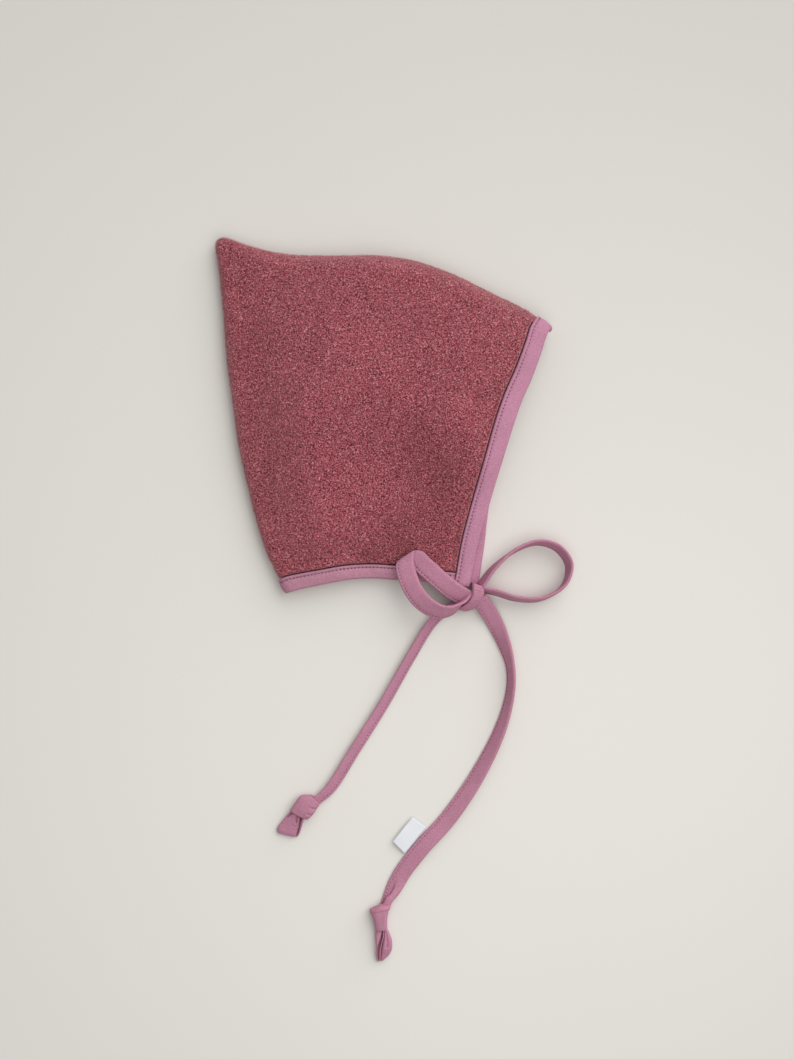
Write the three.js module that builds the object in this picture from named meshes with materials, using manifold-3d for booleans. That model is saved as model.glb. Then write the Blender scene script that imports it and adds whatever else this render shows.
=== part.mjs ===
// A baby's pixie bonnet in felted wool, lying on its left side on a table with its ties made up in a bow.
// Millimetres. +Z is up from the table, +Y runs from the neck edge up to the crown, and +X from the back
// seam to the open face edge. The origin lies on the table under the middle of the bonnet.
import * as THREE from "three";
import Module from "manifold-3d";

const wasm = await Module();
wasm.setup();

// Cloth
const WOOL = 2.5; // thickness of the felted wool
const TAPE = 0.9; // thickness of the jersey tape of the bindings
const GAP = 0.3; // clearance between two pieces that are sewn or pressed together
const FACE_BINDING = { chin: 7.7, middle: 9.2, crown: 8.0 }; // width of its tape, on each side of the cloth
const NECK_BINDING = 7.2; // width of its tape, on each side of the cloth
const LOOP_WIDTH = 11.0; // width of the tie in the bow
const TAIL_WIDTH = 9.6; // width of the tie's hanging tails
const TIE_THICK = 2.0; // the tie is the same tape, folded in and stitched
const GATHERED = 0.6; // share of its width that a tie keeps where it goes into a knot
const GATHER_RUN = 14; // over this distance from a knot the tie opens to its full width
const BINDING_TAIL = 2.4; // how far the face binding runs on past the chin towards the bow
const LABEL = { length: 18.3, depth: 9.9, thick: 0.6 };

// Mesh fineness
const ROLL_STEPS = 5; // steps from a seam up to the shoulder beside it
const FLAT_STEPS = 15; // steps from that shoulder to the tape on the open edge
const TAPE_STEPS = 2; // steps across that tape
const STRAP_STEPS = 3; // steps between two rows of a tie's table
const KNOT_STEPS = 2;
const KNOT_SIDES = 12;

// The two side panels are sewn together along the back seam and the crown seam. z is the height of the
// seam above the table, where the upper and the lower panel meet.
const BACK_SEAM = [
  { x: -54.4, y: -100.2, z: 8.0 },
  { x: -61.2, y: -87.5, z: 8.5 },
  { x: -66.4, y: -75.7, z: 9.0 },
  { x: -74.3, y: -48.4, z: 9.0 },
  { x: -80.6, y: -21.2, z: 9.0 },
  { x: -84.6, y: 6.1, z: 9.0 },
  { x: -87.8, y: 30.0, z: 8.5 },
  { x: -90.7, y: 65.2, z: 7.5 },
  { x: -93.5, y: 89.4, z: 6.5 },
  { x: -94.7, y: 95.4, z: 6.0 },
  { x: -93.8, y: 99.2, z: 6.0 },
];
const CROWN_SEAM = [
  { x: -93.8, y: 99.2, z: 6.0 },
  { x: -90.2, y: 100.2, z: 6.0 },
  { x: -81.8, y: 97.1, z: 6.5 },
  { x: -68.1, y: 92.8, z: 7.0 },
  { x: -54.0, y: 90.1, z: 8.0 },
  { x: -30.0, y: 89.1, z: 9.0 },
  { x: 0.7, y: 89.0, z: 9.5 },
  { x: 20.8, y: 85.3, z: 9.5 },
  { x: 41.0, y: 78.0, z: 9.5 },
  { x: 61.5, y: 67.8, z: 9.5 },
  { x: 81.8, y: 57.8, z: 9.0 },
  { x: 93.8, y: 49.4, z: 9.0 },
];

// The open edges in plan, for the upper and the lower panel. The face edge runs from chin to crown,
// the neck edge from the nape to the row before the chin.
const FACE_EDGE = [
  { y: -95.3, upper: 48.4, lower: 53.5 },
  { y: -73.0, upper: 52.7, lower: 56.8 },
  { y: -55.0, upper: 57.7, lower: 58.9 },
  { y: -29.0, upper: 65.2, lower: 63.1 },
  { y: 4.5, upper: 75.9, lower: 73.3 },
  { y: 20.0, upper: 82.6, lower: 80.6 },
  { y: 36.0, upper: 88.5, lower: 86.6 },
  { y: 43.3, upper: 90.8, lower: 90.4 },
  { y: 49.4, upper: 93.8, lower: 93.8 },
];
const NECK_EDGE = [
  { x: -54.4, upper: -100.2, lower: -100.2 },
  { x: -47.3, upper: -98.2, lower: -97.3 },
  { x: -33.5, upper: -95.2, lower: -94.1 },
  { x: -20.0, upper: -92.7, lower: -91.6 },
  { x: -6.0, upper: -92.0, lower: -91.1 },
  { x: 8.5, upper: -93.0, lower: -91.6 },
  { x: 29.0, upper: -94.3, lower: -92.6 },
];

// Height of the upper panel from the neck edge (first row) in equal steps to the crown (last row), beside
// the back seam, half way across and at the face edge.
const CREST = [
  { back: 11.5, middle: 13.0, front: 8.8 },
  { back: 15.0, middle: 20.0, front: 13.0 },
  { back: 17.0, middle: 24.0, front: 16.5 },
  { back: 16.5, middle: 23.0, front: 17.5 },
  { back: 11.0, middle: 18.5, front: 15.0 },
];

// Soft folds of the upper panel, each a swell (rise above 0) or a trough along a line in plan.
const FOLDS = [
  { x0: -2, y0: 0, x1: 27, y1: -31, spread: 11, rise: -1.6 },
  { x0: 27, y0: -31, x1: 34, y1: -68, spread: 10, rise: -2.0 },
  { x0: -22, y0: -52, x1: 2, y1: -66, spread: 18, rise: 1.6 },
  { x0: -70, y0: 55, x1: -64, y1: -46, spread: 11, rise: -1.4 },
  { x0: 46, y0: -20, x1: 66, y1: 28, spread: 12, rise: 1.2 },
];

// Ties. turn is the compass direction of the tape's width in plan, tilt how far that width stands up.
const LOOP_LEFT = [
  { x: 51.5, y: -100.6, z: 9.0, turn: 75, tilt: 55 },
  { x: 45.2, y: -101.0, z: 12.6, turn: 58, tilt: 24 },
  { x: 37.4, y: -98.6, z: 15.0, turn: 52, tilt: 10 },
  { x: 24.3, y: -87.0, z: 17.0, turn: 52, tilt: 8 },
  { x: 18.6, y: -81.8, z: 18.6, turn: 47, tilt: 6 },
  { x: 13.6, y: -80.9, z: 21.6, turn: 34, tilt: 3 },
  { x: 12.3, y: -84.4, z: 23.6, turn: 24, tilt: 6 },
  { x: 14.8, y: -94.4, z: 21.8, turn: 19, tilt: 13 },
  { x: 18.6, y: -101.8, z: 19.5, turn: 28, tilt: 16 },
  { x: 24.6, y: -108.1, z: 17.2, turn: 43, tilt: 24 },
  { x: 32.3, y: -111.7, z: 14.8, turn: 68, tilt: 42 },
  { x: 39.2, y: -111.2, z: 12.8, turn: 79, tilt: 56 },
  { x: 45.0, y: -107.8, z: 11.0, turn: 88, tilt: 66 },
  { x: 51.5, y: -104.4, z: 9.4, turn: 96, tilt: 74 },
];
const LOOP_RIGHT = [
  { x: 54.4, y: -98.4, z: 8.0, turn: 70, tilt: 76 },
  { x: 63.1, y: -87.0, z: 7.0, turn: 60, tilt: 75 },
  { x: 75.5, y: -77.6, z: 6.3, turn: 55, tilt: 73 },
  { x: 88.5, y: -73.0, z: 6.1, turn: 50, tilt: 72 },
  { x: 99.5, y: -76.0, z: 6.1, turn: 45, tilt: 71 },
  { x: 106.3, y: -85.5, z: 6.1, turn: 42, tilt: 71 },
  { x: 103.3, y: -97.4, z: 6.1, turn: 45, tilt: 72 },
  { x: 91.0, y: -105.0, z: 6.1, turn: 50, tilt: 73 },
  { x: 76.0, y: -105.0, z: 6.3, turn: 60, tilt: 75 },
  { x: 64.5, y: -101.6, z: 7.0, turn: 70, tilt: 76 },
  { x: 54.8, y: -101.8, z: 7.5, turn: 80, tilt: 78 },
];

// The hanging tails lie along the table. lift is the height above lying there, next to the bow.
const TAIL_LEFT = [
  { x: 50.5, y: -106.6, tilt: 24, lift: 1.0 },
  { x: 39.0, y: -110.4, tilt: 34, lift: 0.0 },
  { x: 29.3, y: -117.6, tilt: 61, lift: 0.0 },
  { x: 16.2, y: -138.0, tilt: 67, lift: 0.0 },
  { x: 0.5, y: -165.5, tilt: 66, lift: 0.0 },
  { x: -16.8, y: -193.0, tilt: 62, lift: 0.0 },
  { x: -30.2, y: -213.2, tilt: 60, lift: 0.0 },
  { x: -40.6, y: -222.0, tilt: 50, lift: 0.0 },
];
const TAIL_RIGHT = [
  { x: 55.0, y: -104.8, tilt: 8, lift: 5.5 },
  { x: 60.0, y: -112.0, tilt: 10, lift: 2.6 },
  { x: 63.6, y: -118.0, tilt: 14, lift: 0.4 },
  { x: 69.4, y: -131.2, tilt: 42, lift: 0.0 },
  { x: 73.0, y: -145.0, tilt: 66, lift: 0.0 },
  { x: 72.8, y: -158.5, tilt: 66, lift: 0.0 },
  { x: 67.3, y: -179.3, tilt: 54, lift: 0.0 },
  { x: 53.8, y: -206.9, tilt: 34, lift: 0.0 },
  { x: 37.5, y: -231.0, tilt: 18, lift: 0.0 },
  { x: 22.0, y: -248.3, tilt: 16, lift: 0.0 },
  { x: 11.5, y: -262.0, tilt: 22, lift: 0.0 },
  { x: 3.2, y: -275.5, tilt: 40, lift: 0.0 },
  { x: -1.0, y: -284.0, tilt: 40, lift: 0.0 },
];

// Knots, as ovals along a line: z is the height of the oval's middle, half and rise its half sizes.
const BOW_KNOT = [
  { x: 53.6, y: -96.4, z: 8.2, half: 3.0, rise: 3.0 },
  { x: 54.4, y: -98.8, z: 7.8, half: 4.3, rise: 5.6 },
  { x: 53.9, y: -103.6, z: 7.5, half: 4.4, rise: 6.4 },
  { x: 52.0, y: -107.6, z: 6.7, half: 4.8, rise: 5.6 },
  { x: 49.8, y: -110.2, z: 5.4, half: 4.0, rise: 4.2 },
  { x: 48.0, y: -111.8, z: 4.4, half: 2.2, rise: 2.4 },
];
const TAIL_KNOT_LEFT = [
  { x: -37.6, y: -219.6, z: 3.6, half: 3.5, rise: 3.2 },
  { x: -41.5, y: -222.5, z: 4.4, half: 5.3, rise: 4.2 },
  { x: -46.6, y: -226.0, z: 4.3, half: 5.7, rise: 4.1 },
  { x: -49.6, y: -229.4, z: 3.1, half: 4.4, rise: 2.9 },
  { x: -52.4, y: -235.0, z: 2.2, half: 5.4, rise: 2.0 },
  { x: -54.2, y: -240.0, z: 1.6, half: 6.6, rise: 1.4 },
];
const TAIL_KNOT_RIGHT = [
  { x: 1.8, y: -278.6, z: 3.4, half: 3.8, rise: 3.0 },
  { x: -1.5, y: -283.4, z: 4.4, half: 5.4, rise: 4.2 },
  { x: -2.0, y: -289.2, z: 4.4, half: 4.4, rise: 4.2 },
  { x: -1.0, y: -294.4, z: 3.2, half: 3.5, rise: 3.0 },
  { x: 0.5, y: -302.2, z: 3.4, half: 4.7, rise: 3.2 },
  { x: -0.4, y: -308.6, z: 2.4, half: 3.3, rise: 2.2 },
  { x: -1.6, y: -312.6, z: 1.8, half: 1.5, rise: 1.4 },
];

// The label stands out from the side of the right tail, sewn into its edge.
const LABEL_AT = { x: 14.8, y: -241.6, z: 1.6, turn: 53 };

// Colours
const WOOL_ROSE = 0x944e56;
const TAPE_PINK = 0xba8498;
const TAPE_MAUVE = 0xab788a;
const TIE_PINK = 0xb47e92;
const LABEL_WHITE = 0xe9e8ea;

const vector = (x, y, z = 0) => new THREE.Vector3(x, y, z);
const curveOf = (points) => new THREE.CatmullRomCurve3(points);
const radians = THREE.MathUtils.degToRad;
const UP = vector(0, 0, 1);

// Closed skin over rings of equal even count. Each ring lists one face of the piece out and the other
// face back, so an end closes by joining its first point to its last, its second to its last but one.
function loft(rings) {
  const count = rings[0].length;
  const corners = rings.flat();
  const faces = [];
  const quad = (a, b, c, d) => faces.push([a, b, c], [a, c, d]);
  for (let ring = 0; ring + 1 < rings.length; ring += 1) {
    const here = ring * count;
    const there = here + count;
    for (let point = 0; point < count; point += 1) {
      const next = (point + 1) % count;
      quad(here + point, here + next, there + next, there + point);
    }
  }
  const last = (rings.length - 1) * count;
  for (let point = 0; point < count / 2 - 1; point += 1) {
    const across = count - 1 - point;
    quad(point + 1, point, across, across - 1);
    quad(last + point, last + point + 1, last + across - 1, last + across);
  }
  let volume = 0;
  for (const [a, b, c] of faces) {
    volume += corners[a].dot(vector(0, 0).crossVectors(corners[b], corners[c]));
  }
  const outward = volume > 0 ? faces : faces.map(([a, b, c]) => [a, c, b]);
  const geometry = new THREE.BufferGeometry();
  geometry.setAttribute("position", new THREE.Float32BufferAttribute(corners.flatMap((p) => p.toArray()), 3));
  geometry.setIndex(outward.flat());
  return geometry;
}

function solidOf(geometry) {
  const vertProperties = new Float32Array(geometry.getAttribute("position").array);
  const triVerts = new Uint32Array(geometry.getIndex().array);
  return new wasm.Manifold(new wasm.Mesh({ numProp: 3, vertProperties, triVerts }));
}

// A piece trimmed back from its neighbours.
function trimmed(geometry, neighbours) {
  let solid = solidOf(geometry);
  for (const neighbour of neighbours) {
    solid = solid.subtract(solidOf(neighbour));
  }
  const mesh = solid.getMesh();
  const result = new THREE.BufferGeometry();
  result.setAttribute("position", new THREE.Float32BufferAttribute(mesh.vertProperties, 3));
  result.setIndex(Array.from(mesh.triVerts));
  return result;
}

// Side panels

const SIDES = ROLL_STEPS + FLAT_STEPS + TAPE_STEPS;
const ROLL_SHARE = ROLL_STEPS / SIDES;
const TAPE_SHARE = TAPE_STEPS / SIDES;
const ROLL_RATIO = 1.2; // width of the rolled edge at a seam over its height
const LIFT = TAPE + GAP; // the tape under the lower panel's open edges lifts them this much
const LIFT_FADE = 9; // over this distance past the tape the panel comes down to the table
const faceTape = (t) => {
  const { chin, middle, crown } = FACE_BINDING;
  return t < 0.5 ? chin + (middle - chin) * 2 * t : middle + (crown - middle) * (2 * t - 1);
};

const backSeam = curveOf(BACK_SEAM.map((row) => vector(row.x, row.y, row.z)));
const crownSeam = curveOf(CROWN_SEAM.map((row) => vector(row.x, row.y, row.z)));
const crestCurve = curveOf(CREST.map((row) => vector(row.back, row.middle, row.front)));

function openEdges(side) {
  const face = FACE_EDGE.map((row) => vector(row[side], row.y));
  const neck = NECK_EDGE.map((row) => vector(row.x, row[side]));
  return { face: curveOf(face), neck: curveOf([...neck, face[0]]) };
}

function crestAt(s, t) {
  const row = crestCurve.getPoint(t);
  const back = 2 * (s - 0.5) * (s - 1) * row.x;
  const middle = 4 * s * (1 - s) * row.y;
  const front = 2 * s * (s - 0.5) * row.z;
  return back + middle + front;
}

function foldAt(point) {
  let rise = 0;
  for (const fold of FOLDS) {
    const line = new THREE.Line3(vector(fold.x0, fold.y0), vector(fold.x1, fold.y1));
    const nearest = line.closestPointToPoint(vector(point.x, point.y), true, vector(0, 0));
    const distance = Math.hypot(point.x - nearest.x, point.y - nearest.y);
    rise += fold.rise * Math.exp(-((distance / fold.spread) ** 2));
  }
  return rise;
}

// A panel is a patch between its four edges, rolled over at the two seams. s runs from the back seam to
// the face edge and t from the neck edge to the crown seam; a and b do the same, but in equal mesh steps.
class Panel {
  constructor(side) {
    this.facing = side === "upper" ? 1 : -1;
    this.edges = openEdges(side);
  }

  length(t) {
    return backSeam.getPointAt(t).setZ(0).distanceTo(this.edges.face.getPointAt(t));
  }

  height(s) {
    return crownSeam.getPointAt(s).setZ(0).distanceTo(this.edges.neck.getPointAt(s));
  }

  plan(s, t) {
    const { face, neck } = this.edges;
    const across = backSeam.getPointAt(t).multiplyScalar(1 - s).addScaledVector(face.getPointAt(t), s);
    const along = neck.getPointAt(s).multiplyScalar(1 - t).addScaledVector(crownSeam.getPointAt(s), t);
    const corners = neck.getPointAt(0).multiplyScalar((1 - s) * (1 - t));
    corners.addScaledVector(neck.getPointAt(1), s * (1 - t));
    corners.addScaledVector(crownSeam.getPointAt(0), (1 - s) * t);
    corners.addScaledVector(crownSeam.getPointAt(1), s * t);
    return across.add(along).sub(corners);
  }

  // Height of the panel's middle surface away from its seams.
  level(s, t, point) {
    if (this.facing > 0) {
      return crestAt(s, t) + foldAt(point);
    }
    const beyondFace = (1 - s) * this.length(t) - faceTape(t);
    const beyondNeck = t * this.height(s) - NECK_BINDING;
    const fade = THREE.MathUtils.smoothstep(Math.min(beyondFace, beyondNeck), 0, LIFT_FADE);
    return WOOL / 2 + LIFT * (1 - fade);
  }

  seamAt(s, t) {
    const back = backSeam.getPointAt(t).z;
    const crown = crownSeam.getPointAt(s).z;
    const share = s / Math.max(1 - t + s, 1e-6);
    return back + (crown - back) * share;
  }

  // Distance from a seam, and share of the shoulder's height reached there.
  roll(step, drop, length, tape) {
    const radius = ROLL_RATIO * drop;
    if (step < ROLL_SHARE) {
      const angle = (step / ROLL_SHARE) * (Math.PI / 2);
      return { distance: radius * (1 - Math.cos(angle)), rise: Math.sin(angle) };
    }
    if (step > 1 - TAPE_SHARE) {
      return { distance: length - (tape * (1 - step)) / TAPE_SHARE, rise: 1 };
    }
    const run = (step - ROLL_SHARE) / (1 - ROLL_SHARE - TAPE_SHARE);
    return { distance: radius + (length - tape - radius) * run, rise: 1 };
  }

  drop(s, t) {
    const seam = this.seamAt(s, t);
    return this.facing > 0 ? crestAt(s, t) - seam : seam - WOOL / 2 - LIFT / 2;
  }

  middle(a, b) {
    const back = this.roll(a, this.drop(0, b), this.length(b), faceTape(b));
    const crown = this.roll(1 - b, this.drop(a, 1), this.height(a), NECK_BINDING);
    const s = Math.min(back.distance / this.length(b), 1);
    const t = Math.max(1 - crown.distance / this.height(a), 0);
    const point = this.plan(s, t);
    const both = back.rise * crown.rise;
    const spread = Math.hypot(back.rise, crown.rise) ** 2 - both ** 2;
    const rise = both / Math.sqrt(Math.max(spread, 1e-9));
    const seam = this.seamAt(s, t) + (this.facing * GAP) / 2;
    point.z = seam + (this.level(s, t, point) - seam) * rise;
    return { point, seam, rise };
  }

  // Directions towards the face and the crown, and out of the cloth.
  frame(a, b) {
    const step = 1e-3;
    const inA = THREE.MathUtils.clamp(a, 2 * step, 1 - step);
    const inB = THREE.MathUtils.clamp(b, step, 1 - 2 * step);
    const toFace = this.middle(inA + step, inB).point.sub(this.middle(inA - step, inB).point);
    const toCrown = this.middle(inA, inB + step).point.sub(this.middle(inA, inB - step).point);
    const out = vector(0, 0).crossVectors(toFace, toCrown).normalize().multiplyScalar(this.facing);
    return { toFace: toFace.normalize(), toCrown: toCrown.normalize(), out };
  }

  // A point off the middle surface. Inside a rolled edge it stays on its own side of the seam's height.
  skin(a, b, offset) {
    const { point, seam, rise } = this.middle(a, b);
    point.addScaledVector(this.frame(a, b).out, offset);
    if (offset < 0 && rise < 0.999) {
      point.z = this.facing > 0 ? Math.max(point.z, seam) : Math.min(point.z, seam);
    }
    return point;
  }

  cloth() {
    const rings = [];
    for (let row = 0; row <= SIDES; row += 1) {
      const outside = [];
      const inside = [];
      for (let column = 0; column <= SIDES; column += 1) {
        outside.push(this.skin(column / SIDES, row / SIDES, WOOL / 2));
        inside.unshift(this.skin(column / SIDES, row / SIDES, -WOOL / 2));
      }
      rings.push([...outside, ...inside]);
    }
    return loft(rings);
  }
}

// Bindings: a tape folded over an open edge, as a channel around the cloth. Each point of the channel has
// its share of the tape's width back from the edge, its distance past the edge and its offset out of the cloth.

const INNER_FACE = WOOL / 2 + GAP;
const OUTER_FACE = INNER_FACE + TAPE;

const CHANNEL = [
  { inset: 1.0, past: 0.0, offset: -OUTER_FACE },
  { inset: 0.5, past: 0.0, offset: -OUTER_FACE },
  { inset: 0.0, past: 0.3, offset: -OUTER_FACE },
  { inset: 0.0, past: 1.5, offset: 0.0 },
  { inset: 0.0, past: 0.3, offset: OUTER_FACE },
  { inset: 0.5, past: 0.0, offset: OUTER_FACE },
  { inset: 1.0, past: 0.0, offset: OUTER_FACE },
  { inset: 1.0, past: 0.0, offset: INNER_FACE },
  { inset: 0.5, past: 0.0, offset: INNER_FACE },
  { inset: 0.0, past: 0.1, offset: INNER_FACE },
  { inset: 0.0, past: 0.6, offset: 0.0 },
  { inset: 0.0, past: 0.1, offset: -INNER_FACE },
  { inset: 0.5, past: 0.0, offset: -INNER_FACE },
  { inset: 1.0, past: 0.0, offset: -INNER_FACE },
];

function faceRing(panel, b) {
  const { toFace } = panel.frame(1, b);
  return CHANNEL.map(({ inset, past, offset }) => {
    return panel.skin(1 - inset * TAPE_SHARE, b, offset).addScaledVector(toFace, past);
  });
}

function neckRing(panel, a) {
  const { toCrown } = panel.frame(a, 0);
  return CHANNEL.map(({ inset, past, offset }) => {
    return panel.skin(a, inset * TAPE_SHARE, offset).addScaledVector(toCrown, -past);
  });
}

// The face binding runs from the upper chin corner over the crown to the lower one, and past both.
function faceBinding(upper, lower) {
  const stations = Array.from({ length: SIDES + 1 }, (_, index) => index / SIDES);
  const rings = stations.map((b) => faceRing(upper, b));
  rings.push(...stations.slice(0, -1).toReversed().map((b) => faceRing(lower, b)));
  const past = (panel, ring) => {
    const step = panel.frame(1, 0).toCrown.multiplyScalar(-BINDING_TAIL);
    return ring.map((point) => point.clone().add(step));
  };
  return loft([past(upper, rings[0]), ...rings, past(lower, rings.at(-1))]);
}

// The neck binding runs from the face binding round the nape to the face binding on the other side.
function neckBinding(upper, lower) {
  const stations = Array.from({ length: SIDES - TAPE_STEPS }, (_, index) => index / SIDES);
  stations.push(1 - TAPE_SHARE * (1 + (2 * GAP) / faceTape(0)));
  const over = stations.toReversed().map((a) => neckRing(upper, a));
  const under = stations.slice(1).map((a) => neckRing(lower, a));
  return loft([...over, ...under]);
}

// Ties: a flat tape swept along its rows, gathered where its ends go into knots.

function tape(centres, widths, full, grow) {
  const thick = TIE_THICK / 2 + grow;
  const path = curveOf(centres);
  const across = curveOf(widths);
  const steps = (centres.length - 1) * STRAP_STEPS;
  const run = path.getLength();
  const rings = [];
  let gone = 0;
  for (let step = 0; step <= steps; step += 1) {
    const centre = path.getPoint(step / steps);
    if (step > 0) {
      gone += centre.distanceTo(path.getPoint((step - 1) / steps));
    }
    const opened = THREE.MathUtils.smoothstep(Math.min(gone, run - gone), 0, GATHER_RUN);
    const half = (full / 2) * THREE.MathUtils.lerp(GATHERED, 1, opened) + grow;
    const flat = half - thick / 2;
    const bevel = 0.35 * thick;
    const width = across.getPoint(step / steps).normalize();
    const depth = vector(0, 0).crossVectors(path.getTangent(step / steps), width).normalize();
    const at = (w, d) => centre.clone().addScaledVector(width, w).addScaledVector(depth, d);
    rings.push([
      at(-half, bevel),
      at(-flat, thick),
      at(flat, thick),
      at(half, bevel),
      at(half, -bevel),
      at(flat, -thick),
      at(-flat, -thick),
      at(-half, -bevel),
    ]);
  }
  return loft(rings);
}

function standingTape(rows, grow = 0) {
  const widths = rows.map(({ turn, tilt }) => {
    const level = Math.cos(radians(tilt));
    return vector(level * Math.cos(radians(turn)), level * Math.sin(radians(turn)), Math.sin(radians(tilt)));
  });
  return tape(rows.map((row) => vector(row.x, row.y, row.z)), widths, LOOP_WIDTH, grow);
}

// On the table: the tape's width stands up on its left side by the tilt, and its lower edge touches.
function lyingTape(rows, grow = 0) {
  const route = curveOf(rows.map((row) => vector(row.x, row.y)));
  const widths = rows.map(({ tilt }, index) => {
    const tangent = route.getTangent(index / (rows.length - 1));
    const left = vector(-tangent.y, tangent.x).normalize();
    return left.multiplyScalar(Math.cos(radians(tilt))).addScaledVector(UP, Math.sin(radians(tilt)));
  });
  const centres = rows.map(({ x, y, tilt, lift }) => {
    const edge = (TAIL_WIDTH / 2) * Math.sin(radians(tilt)) + (TIE_THICK / 2) * Math.cos(radians(tilt));
    return vector(x, y, edge + lift + GAP / 2);
  });
  return tape(centres, widths, TAIL_WIDTH, grow);
}

// Knots: ovals swept along their rows.
function knot(rows, grow = 0) {
  const path = curveOf(rows.map((row) => vector(row.x, row.y, row.z)));
  const sizes = curveOf(rows.map((row) => vector(row.half, row.rise)));
  const steps = (rows.length - 1) * KNOT_STEPS;
  const rings = [];
  for (let step = 0; step <= steps; step += 1) {
    const tangent = path.getTangent(step / steps);
    const centre = path.getPoint(step / steps);
    if (step === 0) {
      centre.addScaledVector(tangent, -grow);
    }
    if (step === steps) {
      centre.addScaledVector(tangent, grow);
    }
    const side = vector(-tangent.y, tangent.x).normalize();
    const size = sizes.getPoint(step / steps);
    const ring = [];
    for (let index = 0; index < KNOT_SIDES; index += 1) {
      const angle = ((index + 0.5) / KNOT_SIDES) * 2 * Math.PI;
      const point = centre.clone().addScaledVector(side, (size.x + grow) * Math.cos(angle));
      ring.push(point.addScaledVector(UP, (size.y + grow) * Math.sin(angle)));
    }
    rings.push(ring);
  }
  return loft(rings);
}

function labelCloth() {
  const { length, depth, thick } = LABEL;
  const ends = [-length / 2, length / 2];
  const flat = loft(
    ends.map((x) => [
      vector(x, -depth / 2, thick / 2),
      vector(x, depth / 2, thick / 2),
      vector(x, depth / 2, -thick / 2),
      vector(x, -depth / 2, -thick / 2),
    ]),
  );
  flat.rotateZ(radians(LABEL_AT.turn));
  flat.translate(LABEL_AT.x, LABEL_AT.y, LABEL_AT.z);
  return flat;
}

// Assembly

const bonnet = new THREE.Group();

function place(name, geometry, color, roughness) {
  const material = new THREE.MeshStandardMaterial({ color, roughness, metalness: 0 });
  const mesh = new THREE.Mesh(geometry, material);
  mesh.name = name;
  bonnet.add(mesh);
}

const upper = new Panel("upper");
const lower = new Panel("lower");
const roundBow = [knot(BOW_KNOT, 1.5 * GAP)];

place("right_side_panel", upper.cloth(), WOOL_ROSE, 0.95);
place("left_side_panel", lower.cloth(), WOOL_ROSE, 0.95);
place("face_binding", trimmed(faceBinding(upper, lower), roundBow), TAPE_PINK, 0.8);
place("neck_binding", neckBinding(upper, lower), TAPE_MAUVE, 0.8);
place("bow_knot", knot(BOW_KNOT), TIE_PINK, 0.8);
place("bow_loop_left", trimmed(standingTape(LOOP_LEFT), roundBow), TIE_PINK, 0.8);
place("bow_loop_right", trimmed(standingTape(LOOP_RIGHT), roundBow), TIE_PINK, 0.8);
place("tie_tail_left", trimmed(lyingTape(TAIL_LEFT), [...roundBow, knot(TAIL_KNOT_LEFT, GAP)]), TIE_PINK, 0.8);
place("tie_tail_right", trimmed(lyingTape(TAIL_RIGHT), [...roundBow, knot(TAIL_KNOT_RIGHT, GAP)]), TIE_PINK, 0.8);
place("tail_knot_left", knot(TAIL_KNOT_LEFT), TIE_PINK, 0.8);
place("tail_knot_right", knot(TAIL_KNOT_RIGHT), TIE_PINK, 0.8);
place("label", trimmed(labelCloth(), [lyingTape(TAIL_RIGHT, GAP)]), LABEL_WHITE, 0.6);

export default bonnet;
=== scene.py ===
"""Dresses the bonnet's frame: wool sides, jersey bindings, a tied bow, knots, stitches and a blank label."""

import math
from collections import namedtuple

import bpy
import numpy as np
from bpy.props import FloatProperty, FloatVectorProperty, IntProperty, PointerProperty
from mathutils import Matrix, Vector, noise


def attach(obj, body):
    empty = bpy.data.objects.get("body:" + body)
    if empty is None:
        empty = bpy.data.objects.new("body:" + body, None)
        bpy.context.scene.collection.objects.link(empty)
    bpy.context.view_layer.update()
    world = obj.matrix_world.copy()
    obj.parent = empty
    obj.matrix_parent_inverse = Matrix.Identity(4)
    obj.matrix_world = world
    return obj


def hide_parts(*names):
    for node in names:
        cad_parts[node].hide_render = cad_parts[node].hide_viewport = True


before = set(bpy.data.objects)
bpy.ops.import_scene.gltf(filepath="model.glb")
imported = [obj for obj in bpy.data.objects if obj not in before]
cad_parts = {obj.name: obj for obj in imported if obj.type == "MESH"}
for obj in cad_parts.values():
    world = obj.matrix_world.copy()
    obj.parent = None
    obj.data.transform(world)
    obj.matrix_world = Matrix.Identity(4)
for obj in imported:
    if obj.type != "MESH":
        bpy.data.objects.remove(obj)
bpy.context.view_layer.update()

bl_info = {
    "name": "Baby pixie bonnet",
    "version": (1, 0, 0),
    "blender": (4, 5, 0),
    "location": "3D View > Sidebar > Bonnet",
    "description": "Builds a felted wool bonnet with jersey bindings and tied ties around its frame",
    "category": "Add Mesh",
}

MM = 0.001
UP = np.array((0.0, 0.0, 1.0))
TABLE_CLEARANCE = 0.05 * MM  # nothing of the bonnet reaches below this height above the table

# Outline. All tables are in millimetres and degrees.

# x, y, height of the seam
BACK_SEAM = (
    (-54.4, -100.2, 6.0),
    (-61.2, -87.5, 6.0),
    (-66.4, -75.7, 6.2),
    (-74.3, -48.4, 6.4),
    (-80.6, -21.2, 6.4),
    (-84.6, 6.1, 6.4),
    (-87.8, 30.0, 6.2),
    (-90.7, 65.2, 6.0),
    (-93.5, 89.4, 5.6),
    (-94.7, 95.4, 5.4),
    (-93.8, 99.2, 5.4),
)
# x, y, height of the seam
CROWN_SEAM = (
    (-93.8, 99.2, 5.4),
    (-90.2, 100.2, 5.4),
    (-81.8, 97.1, 5.8),
    (-68.1, 92.8, 6.2),
    (-54.0, 90.1, 6.8),
    (-30.0, 89.1, 7.4),
    (0.7, 89.0, 7.8),
    (20.8, 85.3, 7.8),
    (41.0, 78.0, 7.8),
    (61.5, 67.8, 7.8),
    (81.8, 57.8, 7.8),
    (93.8, 49.4, 8.0),
)
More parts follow.
